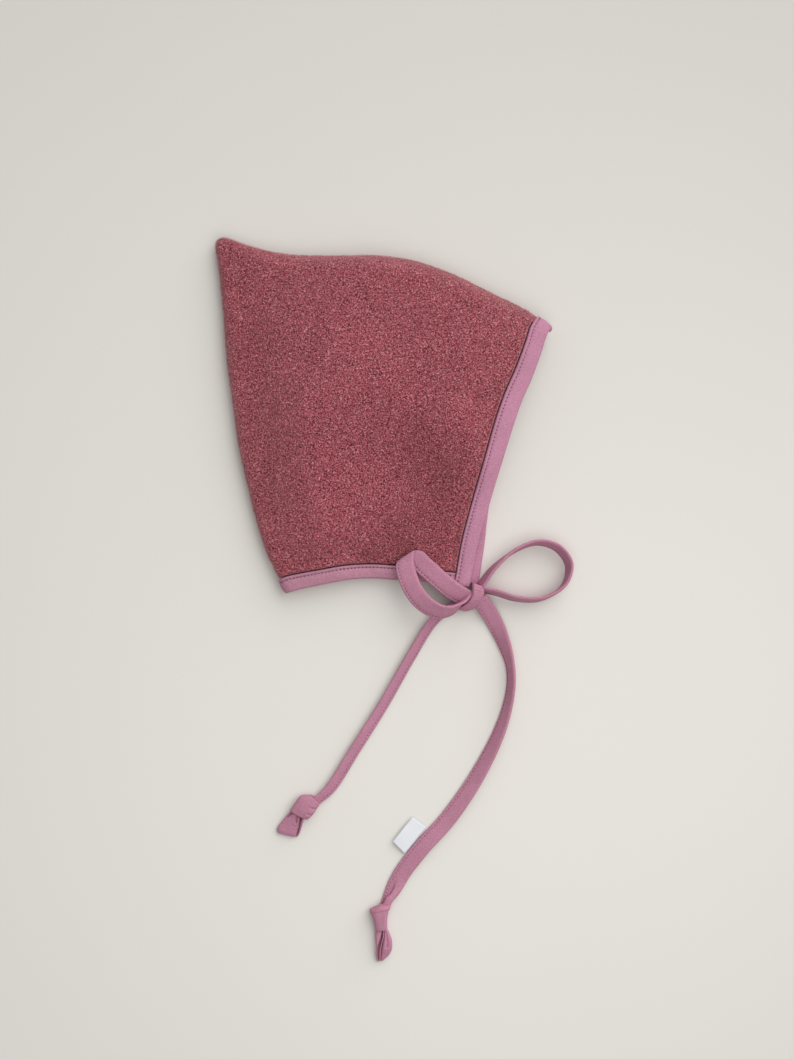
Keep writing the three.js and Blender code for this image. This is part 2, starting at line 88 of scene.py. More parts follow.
# y, x of the upper side, x of the lower side
FACE_EDGE = (
    (-95.3, 48.4, 53.5),
    (-73.0, 52.7, 56.8),
    (-55.0, 57.7, 58.9),
    (-29.0, 65.2, 63.1),
    (4.5, 75.9, 73.3),
    (20.0, 82.6, 80.6),
    (36.0, 88.5, 86.6),
    (43.3, 90.8, 90.4),
    (49.4, 93.8, 93.8),
)
# x, y of the upper side, y of the lower side
NECK_EDGE = (
    (-54.4, -100.2, -100.2),
    (-47.3, -98.2, -97.3),
    (-33.5, -95.2, -94.1),
    (-20.0, -92.7, -91.6),
    (-6.0, -92.0, -91.1),
    (8.5, -93.0, -91.6),
    (29.0, -94.3, -92.6),
)
# height of the upper side beside the back seam, half way across and at the face edge, from neck to crown
CREST = (
    (8.6, 10.6, 8.6),
    (9.4, 19.0, 13.0),
    (9.8, 23.0, 16.0),
    (9.6, 20.8, 16.0),
    (8.6, 16.0, 13.6),
)
# soft folds of the upper side: x and y of the start, x and y of the end, spread, rise
FOLDS = (
    (-4.0, 0.0, 25.0, -30.0, 15.0, -2.2),
    (25.0, -30.0, 28.0, -52.0, 16.0, -2.0),
    (28.0, -52.0, 10.0, -76.0, 16.0, -2.7),
    (40.0, -2.0, 49.0, -28.0, 11.0, 2.0),
    (49.0, -28.0, 44.0, -60.0, 10.0, 1.0),
    (-46.0, -4.0, -36.0, -66.0, 16.0, 3.0),
    (-34.0, 54.0, -30.0, 14.0, 24.0, 3.2),
    (-70.0, 55.0, -64.0, -46.0, 11.0, -1.0),
    (66.0, 36.0, 54.0, -10.0, 20.0, 3.8),
    (-8.0, -88.0, 16.0, -92.0, 12.0, -3.5),
)

# Ties. Loops: x, y, height, compass direction of the tape's width, how far that width stands up
LOOP_LEFT = (
    (51.0, -105.6, 7.4, 46, 26),
    (45.2, -103.4, 9.2, 47, 15),
    (37.4, -98.4, 12.6, 51, 10),
    (24.3, -87.0, 13.4, 52, 8),
    (18.6, -81.8, 13.4, 47, 6),
    (13.6, -80.9, 14.2, 34, 3),
    (12.3, -84.4, 15.8, 24, 6),
    (14.8, -94.4, 18.2, 19, 13),
    (18.6, -101.8, 21.0, 28, 16),
    (24.6, -108.1, 22.6, 43, 24),
    (32.3, -111.7, 21.4, 68, 42),
    (38.0, -111.4, 17.8, 82, 56),
    (42.4, -109.2, 13.0, 104, 74),
    (46.6, -105.3, 8.6, 126, 100),
    (50.0, -100.6, 5.6, 130, 104),
)
LOOP_RIGHT = (
    (55.6, -97.6, 7.4, -30, 72),
    (63.4, -87.2, 6.8, -10, 80),
    (75.5, -77.6, 6.3, 57, 73),
    (88.5, -73.0, 6.1, 50, 72),
    (99.5, -76.0, 6.1, 45, 71),
    (106.3, -85.5, 6.1, 42, 71),
    (103.3, -97.4, 6.1, 45, 72),
    (91.0, -105.0, 6.1, 50, 73),
    (76.0, -105.0, 6.3, 60, 75),
    (65.6, -101.8, 6.8, 70, 74),
    (55.4, -99.4, 7.2, 80, 74),
)
# Tails on the table: x, y, how far the tape's left side stands up, lift next to the bow
TAIL_LEFT = (
    (50.5, -106.6, 140, 1.0),
    (39.0, -110.4, 140, 0.0),
    (29.3, -117.6, 138, 0.0),
    (16.2, -138.0, 142, 0.0),
    (0.5, -165.5, 147, 0.0),
    (-16.8, -193.0, 151, 0.0),
    (-30.2, -214.0, 153, 0.0),
    (-39.2, -222.2, 153, 0.0),
)
TAIL_RIGHT = (
    (55.0, -104.8, 8, 5.5),
    (60.0, -112.0, 10, 2.6),
    (63.6, -118.0, 14, 0.4),
    (69.4, -131.2, 42, 0.0),
    (73.0, -145.0, 66, 0.0),
    (72.8, -158.5, 66, 0.0),
    (67.3, -179.3, 54, 0.0),
    (53.8, -206.9, 34, 0.0),
    (37.5, -231.0, 18, 0.0),
    (22.0, -248.3, 16, 0.0),
    (11.5, -262.0, 6, 0.0),
    (3.8, -275.8, 0, 0.0),
    (-1.0, -283.4, 0, 0.0),
)

# Knots, tie ends and a fold of the right tail, as pillows between two edges: x and y of the left edge,
# x and y of the right edge, height of the middle, half height
BOW_BAND = (
    (50.7, -95.8, 57.2, -98.0, 7.6, 5.0),
    (50.5, -98.2, 57.6, -99.9, 7.5, 6.2),
    (50.4, -100.9, 57.6, -101.8, 7.4, 6.5),
    (49.9, -103.4, 57.0, -103.9, 7.2, 6.4),
    (48.8, -105.6, 56.0, -105.8, 6.8, 6.0),
    (46.8, -107.8, 54.4, -108.4, 6.0, 5.2),
    (44.2, -109.6, 51.8, -110.9, 5.0, 4.2),
    (42.4, -111.0, 47.5, -112.4, 4.0, 2.6),
)
KNOT_LEFT = (
    (-41.3, -217.5, -36.0, -222.5, 4.0, 3.6),
    (-46.9, -217.9, -38.1, -225.6, 4.1, 3.9),
    (-50.3, -221.9, -40.5, -229.2, 4.0, 3.8),
    (-53.2, -226.3, -43.2, -231.5, 3.6, 3.3),
)
END_LEFT = (
    (-52.0, -225.8, -47.0, -229.0, 2.8, 2.3),
    (-55.0, -229.4, -47.6, -232.4, 2.5, 2.2),
    (-58.0, -233.1, -48.6, -236.9, 2.2, 2.0),
    (-60.8, -237.2, -49.7, -240.6, 1.8, 1.6),
    (-60.6, -239.3, -50.4, -241.9, 1.4, 1.2),
)
END_LEFT_LIP = (
    (-46.4, -228.6, -45.2, -229.6, 2.6, 2.2),
    (-46.8, -232.0, -45.7, -232.9, 2.4, 2.1),
    (-47.7, -236.4, -46.8, -237.0, 2.1, 1.9),
    (-48.9, -240.0, -48.1, -240.5, 1.7, 1.5),
    (-49.7, -241.4, -49.2, -241.8, 1.2, 1.0),
)
END_LEFT_LINING = (
    (-48.8, -228.6, -45.8, -229.8, 0.9, 0.7),
    (-49.4, -233.4, -46.4, -234.2, 0.9, 0.7),
    (-51.0, -239.2, -48.8, -240.6, 0.7, 0.5),
)
TAIL_RIGHT_FOLD = (
    (9.2, -262.4, 14.6, -265.0, 1.6, 0.8),
    (7.4, -267.0, 12.6, -269.2, 2.1, 1.0),
    (6.0, -271.3, 10.2, -272.6, 2.8, 1.2),
    (4.4, -274.0, 8.4, -274.8, 3.3, 1.4),
    (2.2, -275.9, 6.9, -276.8, 3.7, 1.5),
    (0.7, -278.5, 5.6, -278.5, 4.0, 1.5),
    (-0.4, -281.0, 4.4, -280.6, 4.1, 1.4),
)
KNOT_RIGHT = (
    (-7.6, -282.8, 4.6, -279.6, 4.0, 3.4),
    (-6.9, -284.9, 4.0, -281.7, 4.4, 4.2),
    (-5.6, -288.1, 2.9, -285.0, 4.4, 4.2),
    (-4.9, -291.3, 2.4, -289.7, 4.0, 3.8),
    (-4.4, -295.0, 2.5, -294.3, 3.4, 3.2),
)
KNOT_RIGHT_LIP = (
    (-7.4, -283.4, -7.0, -285.4, 3.6, 2.2),
    (-4.6, -281.8, -4.6, -285.0, 4.7, 3.8),
    (-1.8, -280.2, -1.6, -284.2, 5.0, 4.2),
    (1.4, -279.9, 1.2, -283.5, 4.9, 4.2),
    (4.4, -280.3, 3.6, -282.8, 4.0, 3.2),
)
END_RIGHT = (
    (0.7, -294.0, 2.2, -294.0, 3.0, 2.3),
    (0.7, -297.6, 4.0, -297.6, 3.1, 2.7),
    (-0.1, -302.0, 5.3, -302.0, 3.1, 2.8),
    (-0.9, -306.4, 5.0, -306.4, 2.7, 2.4),
    (-1.1, -309.8, 3.0, -310.0, 2.1, 1.8),
    (-1.3, -312.4, 0.0, -312.8, 1.6, 1.2),
)
END_RIGHT_LIP = (
    (-0.3, -294.4, 0.8, -294.4, 3.0, 2.5),
    (-0.1, -297.6, 0.8, -297.8, 3.1, 2.7),
    (-1.0, -301.6, -0.1, -301.8, 3.0, 2.7),
    (-1.9, -305.2, -0.9, -305.2, 2.7, 2.4),
    (-2.2, -309.5, -1.2, -309.5, 2.2, 1.9),
    (-2.2, -312.6, -1.3, -312.9, 1.7, 1.4),
)
END_RIGHT_LINING = (
    (-2.4, -294.6, 1.8, -294.6, 1.0, 0.8),
    (-2.8, -302.0, 1.2, -302.0, 1.0, 0.8),
    (-3.4, -308.6, -0.6, -308.6, 0.9, 0.7),
    (-2.9, -312.0, -1.6, -312.2, 0.7, 0.5),
)
END_RIGHT_FOLD = (
    (-4.2, -294.0, -0.3, -294.0, 2.8, 2.3),
    (-4.4, -297.5, -0.5, -296.8, 2.9, 2.4),
    (-4.1, -301.5, -1.8, -300.8, 2.9, 2.5),
    (-3.9, -305.0, -2.9, -304.4, 2.6, 2.3),
    (-4.0, -309.5, -3.1, -309.2, 2.1, 1.8),
    (-3.5, -312.6, -2.5, -313.0, 1.6, 1.3),
)
# Creases of a pillow: place along and across it at the start, the same at the end, depth, spread
BOW_CREASES = (
    (0.10, -0.55, 0.15, 0.60, 0.35, 0.35),
    (0.22, -0.50, 0.26, 0.65, 0.35, 0.35),
    (0.00, -0.30, 0.60, -0.35, 0.3, 0.40),
    (0.00, 0.35, 0.60, 0.30, 0.3, 0.40),
    (0.62, 0.20, 0.95, 0.10, 0.5, 0.60),
)
KNOT_LEFT_CREASES = (
    (0.30, 0.98, 0.42, 0.52, 0.7, 0.60),
    (0.62, 0.98, 0.72, 0.52, 0.7, 0.60),
    (0.10, -0.20, 0.60, 0.20, 0.25, 1.00),
)
END_LEFT_CREASES = (
    (0.00, -0.50, 0.28, -0.82, 1.7, 0.50),
    (0.00, 0.30, 0.34, 0.58, 1.7, 0.45),
)
KNOT_RIGHT_CREASES = ((0.40, 0.10, 0.80, 0.25, 0.3, 0.70),)
END_RIGHT_CREASES = ((0.10, -0.20, 0.50, -0.10, 0.6, 0.60),)

# The label's corners: x, y and height, the sewn edge first
LABEL_CORNERS = (
    (12.4, -251.7, 1.5),
    (24.9, -236.4, 1.5),
    (5.5, -244.5, 2.2),
    (16.8, -230.3, 2.2),
)

# How the cloth's steps run from a seam over its rolled edge and flat to the tape on its open edge
ROLL_SHARE = 5 / 22
TAPE_SHARE = 2 / 22
BESIDE_SHARE = 0.6 / 22  # finer steps in the wool beside the tape
NECK_TAPER = (0.66, 0.9)  # between these steps from the back seam the neck tape narrows to the chin
NECK_END = 1 - TAPE_SHARE * 1.06  # the neck tape ends at this step, just short of the face tape
ROLL_RATIO = 1.2  # width of the rolled edge at a seam over its height
LIFT = 1.2 * MM  # the tape under the lower side's open edges lifts them this much
LIFT_FADE = 9.0 * MM  # over this distance past the tape the lower side comes down to the table
# Number of steps over the rolled edge, the open cloth and the tape
UPPER_STEPS = (40, 180, 20)
LOWER_STEPS = (24, 96, 12)
BINDING_STEPS = (30, 220, 20)
FUZZ_STEPS = (12, 60, 4)

# Places across a tie from its stitched edge, -1, to its fold, 1; closer beside the stitches
TIE_STEPS = (
    -1.0, -0.97, -0.9, -0.84, -0.79, -0.74, -0.68, -0.6, -0.45,
    -0.25, 0.0, 0.25, 0.5, 0.7, 0.85, 0.95, 1.0,
)
# Places across a binding beside its folded inner edge, as shares of the stitches' distance from that edge
LIP_STEPS = (0.0, 0.06, 0.14, 0.25, 0.36, 0.5, 0.64, 0.75, 0.86, 1.0, 1.14, 1.25, 1.4, 1.64)
# Share of its width that the knot draws in at each tail's end
LEFT_DRAWN = 0.2
RIGHT_DRAWN = 0.55
# Rings that turn in at a pillow's ends: size, and how far back they lie as a share of the tape's thickness
PILLOW_ENDS = ((0.62, 0.5), (0.8, 0.1), (0.92, -0.2))
# A stitch from end to end: share of its half length, share of the thread's thickness, depth in threads
STITCH_SHAPE = (
    (-1.0, 0.25, 1.0),
    (-0.72, 0.8, 0.45),
    (-0.3, 1.0, 0.0),
    (0.3, 1.0, 0.0),
    (0.72, 0.8, 0.45),
    (1.0, 0.25, 1.0),
)
STITCH_SIDES = 6
# A fibre from root to tip: share of its length, share of its width
FIBRE_SHAPE = ((0.0, 0.7), (0.5, 1.0), (1.0, 0.3))

# Fine detail of the wool. Places and spreads are distances from a seam or past a binding's inner edge.
SEAM_SPREAD = 0.9 * MM  # where a seam draws it in
PUFF_AT, PUFF_SPREAD = 1.9 * MM, 1.1 * MM  # where it swells beside a binding
TUCK_AT, TUCK_SPREAD = 0.25 * MM, 0.55 * MM  # where the binding's stitches pull it in
SEWN_AT, SEWN_SPREAD = 0.35 * MM, 0.45 * MM  # where shade is painted along that crease
SEWN_PAINTED_SHADE = 0.9  # how dark the painted shade along that crease is, from 0 to 1
FOLD_PAINTED_SHADE = 0.27  # the same for the painted shade of a deep fold
FOLD_DEPTH = 2.0 * MM  # a fold this deep gets about two thirds of that painted shade
ON_TOP = 0.9  # from this share of its height up, a rolled edge counts as the open cloth
WOOL_GRAIN = 1400.0  # fineness of the felt's nubs
FIBRE_GRAIN = 700.0  # fineness of the colours in the loose fibres
RIM_FIBRES = 5.0  # how many more fibres stand at a seam, as a multiple of those on the open cloth; as painted light, these light fibres lighten the rim where the fuzz scatters light
RIM_LIFT = 2.0  # how much more they stand up there
FIBRE_LENGTHS = (0.4, 1.3)  # shortest and longest, as shares of the usual length
FIBRE_BEND = 0.35  # usual bend, as a share of the length
FIBRE_LIFT = 0.22  # most that a fibre stands up before it droops, as a share of the length
FIBRE_OFF = 0.1 * MM  # between the wool and a fibre's root

# Fine detail of the tape
FOLD_ROUND = 0.45 * MM  # roundness of its folded inner edge
RIDGE, RIDGE_SPREAD = 0.14 * MM, 0.4 * MM  # half way from that edge to the stitches
GROOVE, GROOVE_SPREAD = 0.22 * MM, 0.45 * MM  # along the stitches
BINDING_PULL = 0.4 * MM  # depth of the dimples where the thread goes into a binding
TIE_PULL = 0.26 * MM  # the same in a tie
PULL_SPREAD = 0.8 * MM
TIE_GROOVE = 0.2  # how far a tie's stitches press it in, as a share of its thickness
WAVE, WAVE_SIZE = 0.12 * MM, 4.0 * MM  # height and size of its unevenness
NOSE, INNER_NOSE = 1.5 * MM, 0.4 * MM  # how far its outer and its inner face reach past the wool's edge
AIR = 0.06 * MM  # between wool and tape
EAR_RUN = 2.4 * MM  # length of the stretch at the crown where the face binding's fold stands out
SLIT = 0.5 * MM  # depth of the slit between a tie's two layers at its stitched edge
TIE_CLEARANCE = 0.15 * MM  # between the table and a tail
FACE_PUCKER, NECK_PUCKER, TIE_PUCKER = 0.6, 0.5, 0.35  # how much the sewn tape puckers

# The label's curl: rise of its free edge, and height of the wave along it
LABEL_RISE, LABEL_WAVE = 0.5 * MM, 0.25 * MM

# Stage: lens in millimetres, places and sizes in metres
LENS, SENSOR = 50.0, 36.0
KEY_FROM, KEY_SPREAD = (0.5, 0.68, 0.56), math.radians(70)
FILL_AT, FILL_SIZE = (0.12, -0.17, 0.5), 0.5
LAMP_COLOUR = (1.0, 0.99, 0.975)
ROOM_COLOUR = (1.0, 0.99, 0.97, 1.0)
TABLE_REACH = 2.5


# Sizes and colours that a user may change


def size(label, what, millimetres):
    """A length property with its default in millimetres."""
    return FloatProperty(name=label, description=what, default=millimetres * MM, unit="LENGTH", precision=5)


def colour(label, what, red, green, blue):
    """A colour property whose default is given as on a screen, from 0 to 255."""
    default = tuple(linear(level) for level in (red, green, blue))
    return FloatVectorProperty(
        name=label, description=what, default=default, size=3, subtype="COLOR", min=0, max=1
    )


def linear(level):
    """Screen level from 0 to 255 as the linear value that shaders use."""
    share = level / 255
    return share / 12.92 if share <= 0.04045 else ((share + 0.055) / 1.055) ** 2.4


def brightness(label, what, default, unit="NONE"):
    return FloatProperty(name=label, description=what, default=default, unit=unit)


class BonnetWool(bpy.types.PropertyGroup):
    """Felted wool of the two sides."""

    thickness: size("Thickness", "Thickness of the felted wool", 2.5)
    seam_pull: size("Seam pull", "How far a sewn seam draws the wool in", 0.5)
    puff: size("Puff", "How far the wool swells beside a binding", 0.7)
    tuck: size("Tuck", "How far the stitches pull the wool in along a binding's edge", 1.6)
    lump: size("Unevenness", "Height of the felt's soft lumps", 0.3)
    lump_size: size("Lump size", "Size across of the felt's soft lumps", 4.2)
    fibres: IntProperty(name="Fibres", description="Loose fibres on the upper side", default=48000, min=0)
    fibre_length: size("Fibre length", "Length of a loose fibre", 1.5)
    fibre_width: size("Fibre width", "Width of a loose fibre", 0.06)
    dark: colour("Dark wool", "Darkest wool of the blend", 76, 4, 18)
    middle: colour("Main wool", "Main wool of the blend", 171, 81, 93)
    light: colour("Light wool", "Lightest wool of the blend", 224, 160, 166)
    # the loose fibres are lighter than the wool, partly their own colour and partly painted light for the
    # light that the fuzz catches
    fibre_dark: colour("Dark fibre", "Darkest of the loose fibres", 150, 76, 86)
    fibre_middle: colour("Main fibre", "Most of the loose fibres", 196, 118, 127)
    fibre_light: colour("Light fibre", "Lightest of the loose fibres", 228, 168, 173)


class BonnetTape(bpy.types.PropertyGroup):
    """Jersey tape of the bindings, and its stitching."""

    thickness: size("Thickness", "Thickness of the folded tape", 0.9)
    chin: size("Width at the chin", "Width of the face binding at the chin", 7.7)
    temple: size("Width at the temple", "Width of the face binding half way up", 9.2)
    crown: size("Width at the crown", "Width of the face binding at the crown", 8.0)
    neck: size("Neck width", "Width of the neck binding", 7.2)
    neck_chin: size("Neck width at the chin", "Width of the neck binding next to the face binding", 5.0)
    run_on: size("Run on", "How far the face binding runs on past the chin", 2.4)
    swell: size("Swell", "How far the tape swells between stitches and edge", 0.35)
    stitch_inset: size("Stitch inset", "Distance of the stitches from the folded edge", 1.7)
    ear: size("Ear", "How far the face binding's fold stands out at the crown", 1.4)
    stitch_pitch: size("Stitch pitch", "Distance from one stitch to the next", 2.1)
    stitch_length: size("Stitch length", "Length of a stitch above the cloth", 1.0)
    thread: size("Thread", "Thickness of the sewing thread", 0.42)
    face_colour: colour("Face tape", "Colour of the face binding", 184, 129, 153)
    neck_colour: colour("Neck tape", "Colour of the neck binding", 177, 126, 145)
    tie_colour: colour("Tie", "Colour of the ties", 180, 125, 147)
    # the thread is darker than the tape, partly its own colour and partly painted shade of the stitch holes
    thread_colour: colour("Thread", "Colour of the sewing thread", 104, 62, 92)


class BonnetTies(bpy.types.PropertyGroup):
    """Ties, their knots and the label."""

    loop_width: size("Loop width", "Width of the tie in the bow", 11.0)
    tail_width: size("Tail width", "Width of the tie's right tail", 9.6)
    rolled_width: size("Rolled width", "Width of the left tail, which is rolled in along its length", 7.0)
    thickness: size("Thickness", "Thickness of the folded and stitched tie", 2.0)
    draw_run: size("Draw run", "Distance from its knot over which a tail is drawn in", 10.0)
    label_length: size("Label length", "Length of the label along the tie", 18.3)
    label_depth: size("Label depth", "How far the label stands out from the tie", 9.9)
    label_thickness: size("Label thickness", "Thickness of the folded label", 0.6)
    label_colour: colour("Label", "Colour of the woven label", 232, 235, 241)


class BonnetStage(bpy.types.PropertyGroup):
    """Camera, floor and light."""

    height: size("Camera height", "Height of the camera above the table", 845.7)
    across: size("Camera x", "Place of the camera along x", 8.05)
    along: size("Camera y", "Place of the camera along y", -65.55)
    floor: colour("Floor", "Colour of the table", 219, 217, 212)
    key: brightness("Key light", "Strength of the broad light from the upper right", 2.2)
    fill: brightness("Fill light", "Power of the near softbox", 1.15, unit="POWER")
    sky: brightness("Room light", "Strength of the light from all round", 0.37)


# Curves, as the frame's own


def metres(rows):
    """Millimetres as an array in metres."""
    return np.array(rows, float) * MM


def unit(vectors):
    """Vectors of length 1."""
    return vectors / np.maximum(np.linalg.norm(vectors, axis=-1, keepdims=True), 1e-12)


def smoothstep(value, low, high):
    """From 0 at low to 1 at high, level at both."""
    share = np.clip((value - low) / (high - low), 0, 1)
    return share * share * (3 - 2 * share)


def bell(distance, spread):
    """From 1 at no distance towards 0, in a bell of that spread."""
    return np.exp(-((distance / spread) ** 2))


def gone_along(line):
    """Distance from a line's first point, along it, to each of its points."""
    return np.concatenate([[0.0], np.cumsum(np.linalg.norm(np.diff(line, axis=0), axis=-1))])


def off_line(points, start, end):
    """Distance of points from the straight line between two others."""
    line = end - start
    share = np.clip((points - start) @ line / (line @ line), 0, 1)
    return np.linalg.norm(points - start - share[..., None] * line, axis=-1)


class Curve:
    """A centripetal Catmull-Rom curve through its points."""

    SAMPLES = 200

    def __init__(self, points):
        points = np.array(points, float)
        first = 2 * points[0] - points[1]
        last = 2 * points[-1] - points[-2]
        held = np.vstack([first, points, last])
        gap = np.sqrt(np.linalg.norm(np.diff(held, axis=0), axis=1))[:, None]
        before, start, end, after = held[:-3], held[1:-2], held[2:-1], held[3:]
        ahead, span, behind = gap[:-2], gap[1:-1], gap[2:]
        leaving = ((start - before) / ahead - (end - before) / (ahead + span)) * span + end - start
        arriving = ((after - end) / behind - (after - start) / (span + behind)) * span + end - start
        square = 3 * (end - start) - 2 * leaving - arriving
        cube = 2 * (start - end) + leaving + arriving
        self.terms = (start, leaving, square, cube)
        self.spans = len(points) - 1
        self.grid = np.linspace(0, 1, self.SAMPLES + 1)
        self.lengths = gone_along(self.at(self.grid))

    def at(self, t):
        """Points at shares of the rows."""
        place = np.clip(t, 0, 1) * self.spans
        span = np.minimum(place.astype(int), self.spans - 1)
        share = (place - span)[..., None]
        constant, slope, square, cube = (term[span] for term in self.terms)
        return constant + share * (slope + share * (square + share * cube))

    def along(self, u):
        """Points at shares of the length."""
        return self.at(np.interp(u * self.lengths[-1], self.lengths, self.grid))

    def tangent(self, t):
        return unit(self.at(np.minimum(t + 1e-4, 1)) - self.at(np.maximum(t - 1e-4, 0)))


def lumps(points, across, shift):
    """Smooth unevenness from -1 to 1 of about that size across; shift picks another stretch of it."""
    moved = Vector((shift, 0.0, 0.0))
    flat = points.reshape(-1, 3) / across
    return np.array([noise.noise(Vector(point) + moved) for point in flat]).reshape(points.shape[:-1])


# Wool sides

Place = namedtuple("Place", "point seam rise beyond")
Frame = namedtuple("Frame", "to_face to_crown out")

back_seam = Curve(metres(BACK_SEAM))
crown_seam = Curve(metres(CROWN_SEAM))
crest_rows = Curve(metres(CREST))


def crest_at(s, t):
    """Height of the upper side's top at shares s across it and t up it."""
    back, middle, front = np.moveaxis(crest_rows.at(t), -1, 0)
    return 2 * (s - 0.5) * (s - 1) * back + 4 * s * (1 - s) * middle + 2 * s * (s - 0.5) * front


def fold_at(point):
    """How far the soft folds raise the upper side at points."""
    rise = np.zeros(point.shape[:-1])
    for row in FOLDS:
        spread, height = metres(row[4:6])
        rise += height * bell(off_line(point[..., :2], metres(row[0:2]), metres(row[2:4])), spread)
    return rise


class Side:
    """One wool side as a patch between its four edges, rolled over at its two seams.

    a runs from the back seam to the face edge and b from the neck edge to the crown seam, both from 0 to 1.
    """

    def __init__(self, name, wool, tape):
        column = 1 if name == "upper" else 2
        self.facing = 1 if name == "upper" else -1
        face = [(row[column], row[0], 0.0) for row in FACE_EDGE]
        neck = [(row[0], row[column], 0.0) for row in NECK_EDGE]
        self.face = Curve(metres(face))
        self.neck = Curve(metres([*neck, face[0]]))
        self.half = wool.thickness / 2
        self.tape = tape

    def face_tape(self, t):
        """Width of the face binding at share t from the chin."""
        return np.interp(t, (0, 0.5, 1), (self.tape.chin, self.tape.temple, self.tape.crown))

    def neck_tape(self, a):
        """Width of the neck binding at step a from the back seam."""
        return np.interp(a, NECK_TAPER, (self.tape.neck, self.tape.neck_chin))

    def length(self, t):
        """Distance in plan from the back seam to the face edge."""
        return np.linalg.norm((back_seam.along(t) - self.face.along(t))[..., :2], axis=-1)

    def height(self, s):
        """Distance in plan from the neck edge to the crown seam."""
        return np.linalg.norm((crown_seam.along(s) - self.neck.along(s))[..., :2], axis=-1)

    def plan(self, s, t):
        """Points of the patch in plan, blended from its four edges."""
        s, t = s[..., None], t[..., None]
        across = back_seam.along(t[..., 0]) * (1 - s) + self.face.along(t[..., 0]) * s
        along = self.neck.along(s[..., 0]) * (1 - t) + crown_seam.along(s[..., 0]) * t
        nape, chin = self.neck.at(np.array([0.0, 1.0]))
        point, front = crown_seam.at(np.array([0.0, 1.0]))
        corners = nape * (1 - s) * (1 - t) + chin * s * (1 - t) + point * (1 - s) * t + front * s * t
        return across + along - corners

    def level(self, s, t, point, beyond):
        """Height of the open cloth."""
        if self.facing > 0:
            return crest_at(s, t) + fold_at(point)
        return self.half + LIFT * (1 - smoothstep(beyond, 0, LIFT_FADE))

    def seam_at(self, s, t):
        """Height of the seams, carried on over the side."""
        back = back_seam.along(t)[..., 2]
        crown = crown_seam.along(s)[..., 2]
        return back + (crown - back) * s / np.maximum(1 - t + s, 1e-6)

    def drop(self, s, t):
        """Height of the rolled edge, from its seam to the open cloth."""
        seam = self.seam_at(s, t)
        return crest_at(s, t) - seam if self.facing > 0 else seam - self.half - LIFT / 2

    def roll(self, step, drop, length, tape):
        """Distance from a seam, and share of the shoulder's height reached there."""
        radius = ROLL_RATIO * drop
        angle = np.clip(step / ROLL_SHARE, 0, 1) * math.pi / 2
        run = (step - ROLL_SHARE) / (1 - ROLL_SHARE - TAPE_SHARE)
        rolled = radius * (1 - np.cos(angle))
        flat = radius + (length - tape - radius) * run
        distance = np.where(step < ROLL_SHARE, rolled, flat)
        under_tape = length - tape * (1 - step) / TAPE_SHARE
        return np.where(step > 1 - TAPE_SHARE, under_tape, distance), np.sin(angle)

    def middle(self, a, b):
        """The middle of the cloth; beyond is its distance past the nearer tape, below 0 under the tape."""
        none, whole = np.zeros_like(a), np.ones_like(a)
        from_back, back_rise = self.roll(a, self.drop(none, b), self.length(b), self.face_tape(b))
        from_crown, crown_rise = self.roll(1 - b, self.drop(a, whole), self.height(a), self.neck_tape(a))
        s = np.minimum(from_back / self.length(b), 1)
        t = np.maximum(1 - from_crown / self.height(a), 0)
        point = self.plan(s, t)
        both = back_rise * crown_rise
        rise = both / np.sqrt(np.maximum(back_rise**2 + crown_rise**2 - both**2, 1e-9))
        past_face = self.length(b) - self.face_tape(b) - from_back
        past_neck = self.height(a) - self.neck_tape(a) - from_crown
        beyond = np.minimum(past_face, past_neck)
        seam = self.seam_at(s, t)
        point[..., 2] = seam + (self.level(s, t, point, beyond) - seam) * rise
        return Place(point, seam, rise, beyond)

    def frame(self, a, b):
        """Directions towards the face and the crown, and out of the cloth."""
        step = 1e-3
        in_a = np.clip(a, 2 * step, 1 - step)
        in_b = np.clip(b, step, 1 - 2 * step)
        to_face = self.middle(in_a + step, in_b).point - self.middle(in_a - step, in_b).point
        to_crown = self.middle(in_a, in_b + step).point - self.middle(in_a, in_b - step).point
        out = unit(np.cross(to_face, to_crown)) * self.facing
        return Frame(unit(to_face), unit(to_crown), out)

    def skin(self, a, b, offset):
        """A point off the middle of the cloth; inside a rolled edge it stays on its own side of the seam."""
        place = self.middle(a, b)
        point = place.point + self.frame(a, b).out * np.asarray(offset)[..., None]
        inside = (offset < 0) & (place.rise < 0.999)
        keep = np.maximum if self.facing > 0 else np.minimum
        point[..., 2] = np.where(inside, keep(point[..., 2], place.seam), point[..., 2])
        return point


def cloth_steps(roll, flat, tape):
    """Steps from a seam, 0, over the rolled edge, the open cloth and the tape's width to the edge, 1."""
    return np.concatenate(
        [
            np.linspace(0, ROLL_SHARE, roll, endpoint=False),
            np.linspace(ROLL_SHARE, 1 - TAPE_SHARE - BESIDE_SHARE, flat, endpoint=False),
            np.linspace(1 - TAPE_SHARE - BESIDE_SHARE, 1 - TAPE_SHARE, tape, endpoint=False),
            np.linspace(1 - TAPE_SHARE, 1, tape + 1),
        ]
    )


# Meshes


def loft_quads(rings, count):
    """Faces of a skin over closed rings of equal count."""
    index = np.arange(rings * count).reshape(rings, count)
    here, there = index[:-1], index[1:]
    return np.stack([here, np.roll(here, -1, 1), np.roll(there, -1, 1), there], -1).reshape(-1, 4)


def outward(points, faces):
    """The faces, turned so that the closed skin's normals point out."""
    corners = points.reshape(-1, 3)
    volume = 0.0
    for face in faces:
        first = corners[face[0]]
        for second, third in zip(face[1:-1], face[2:]):
            volume += first @ np.cross(corners[second], corners[third])
    return faces if volume > 0 else [face[::-1] for face in faces]


def lofted(rings):
    """A closed skin over rings, with one face on each end."""
    count = rings.shape[1]
    faces = loft_quads(len(rings), count).tolist()
    last = (len(rings) - 1) * count
    faces.append(list(range(count))[::-1])
    faces.append(list(range(last, last + count)))
    return faces


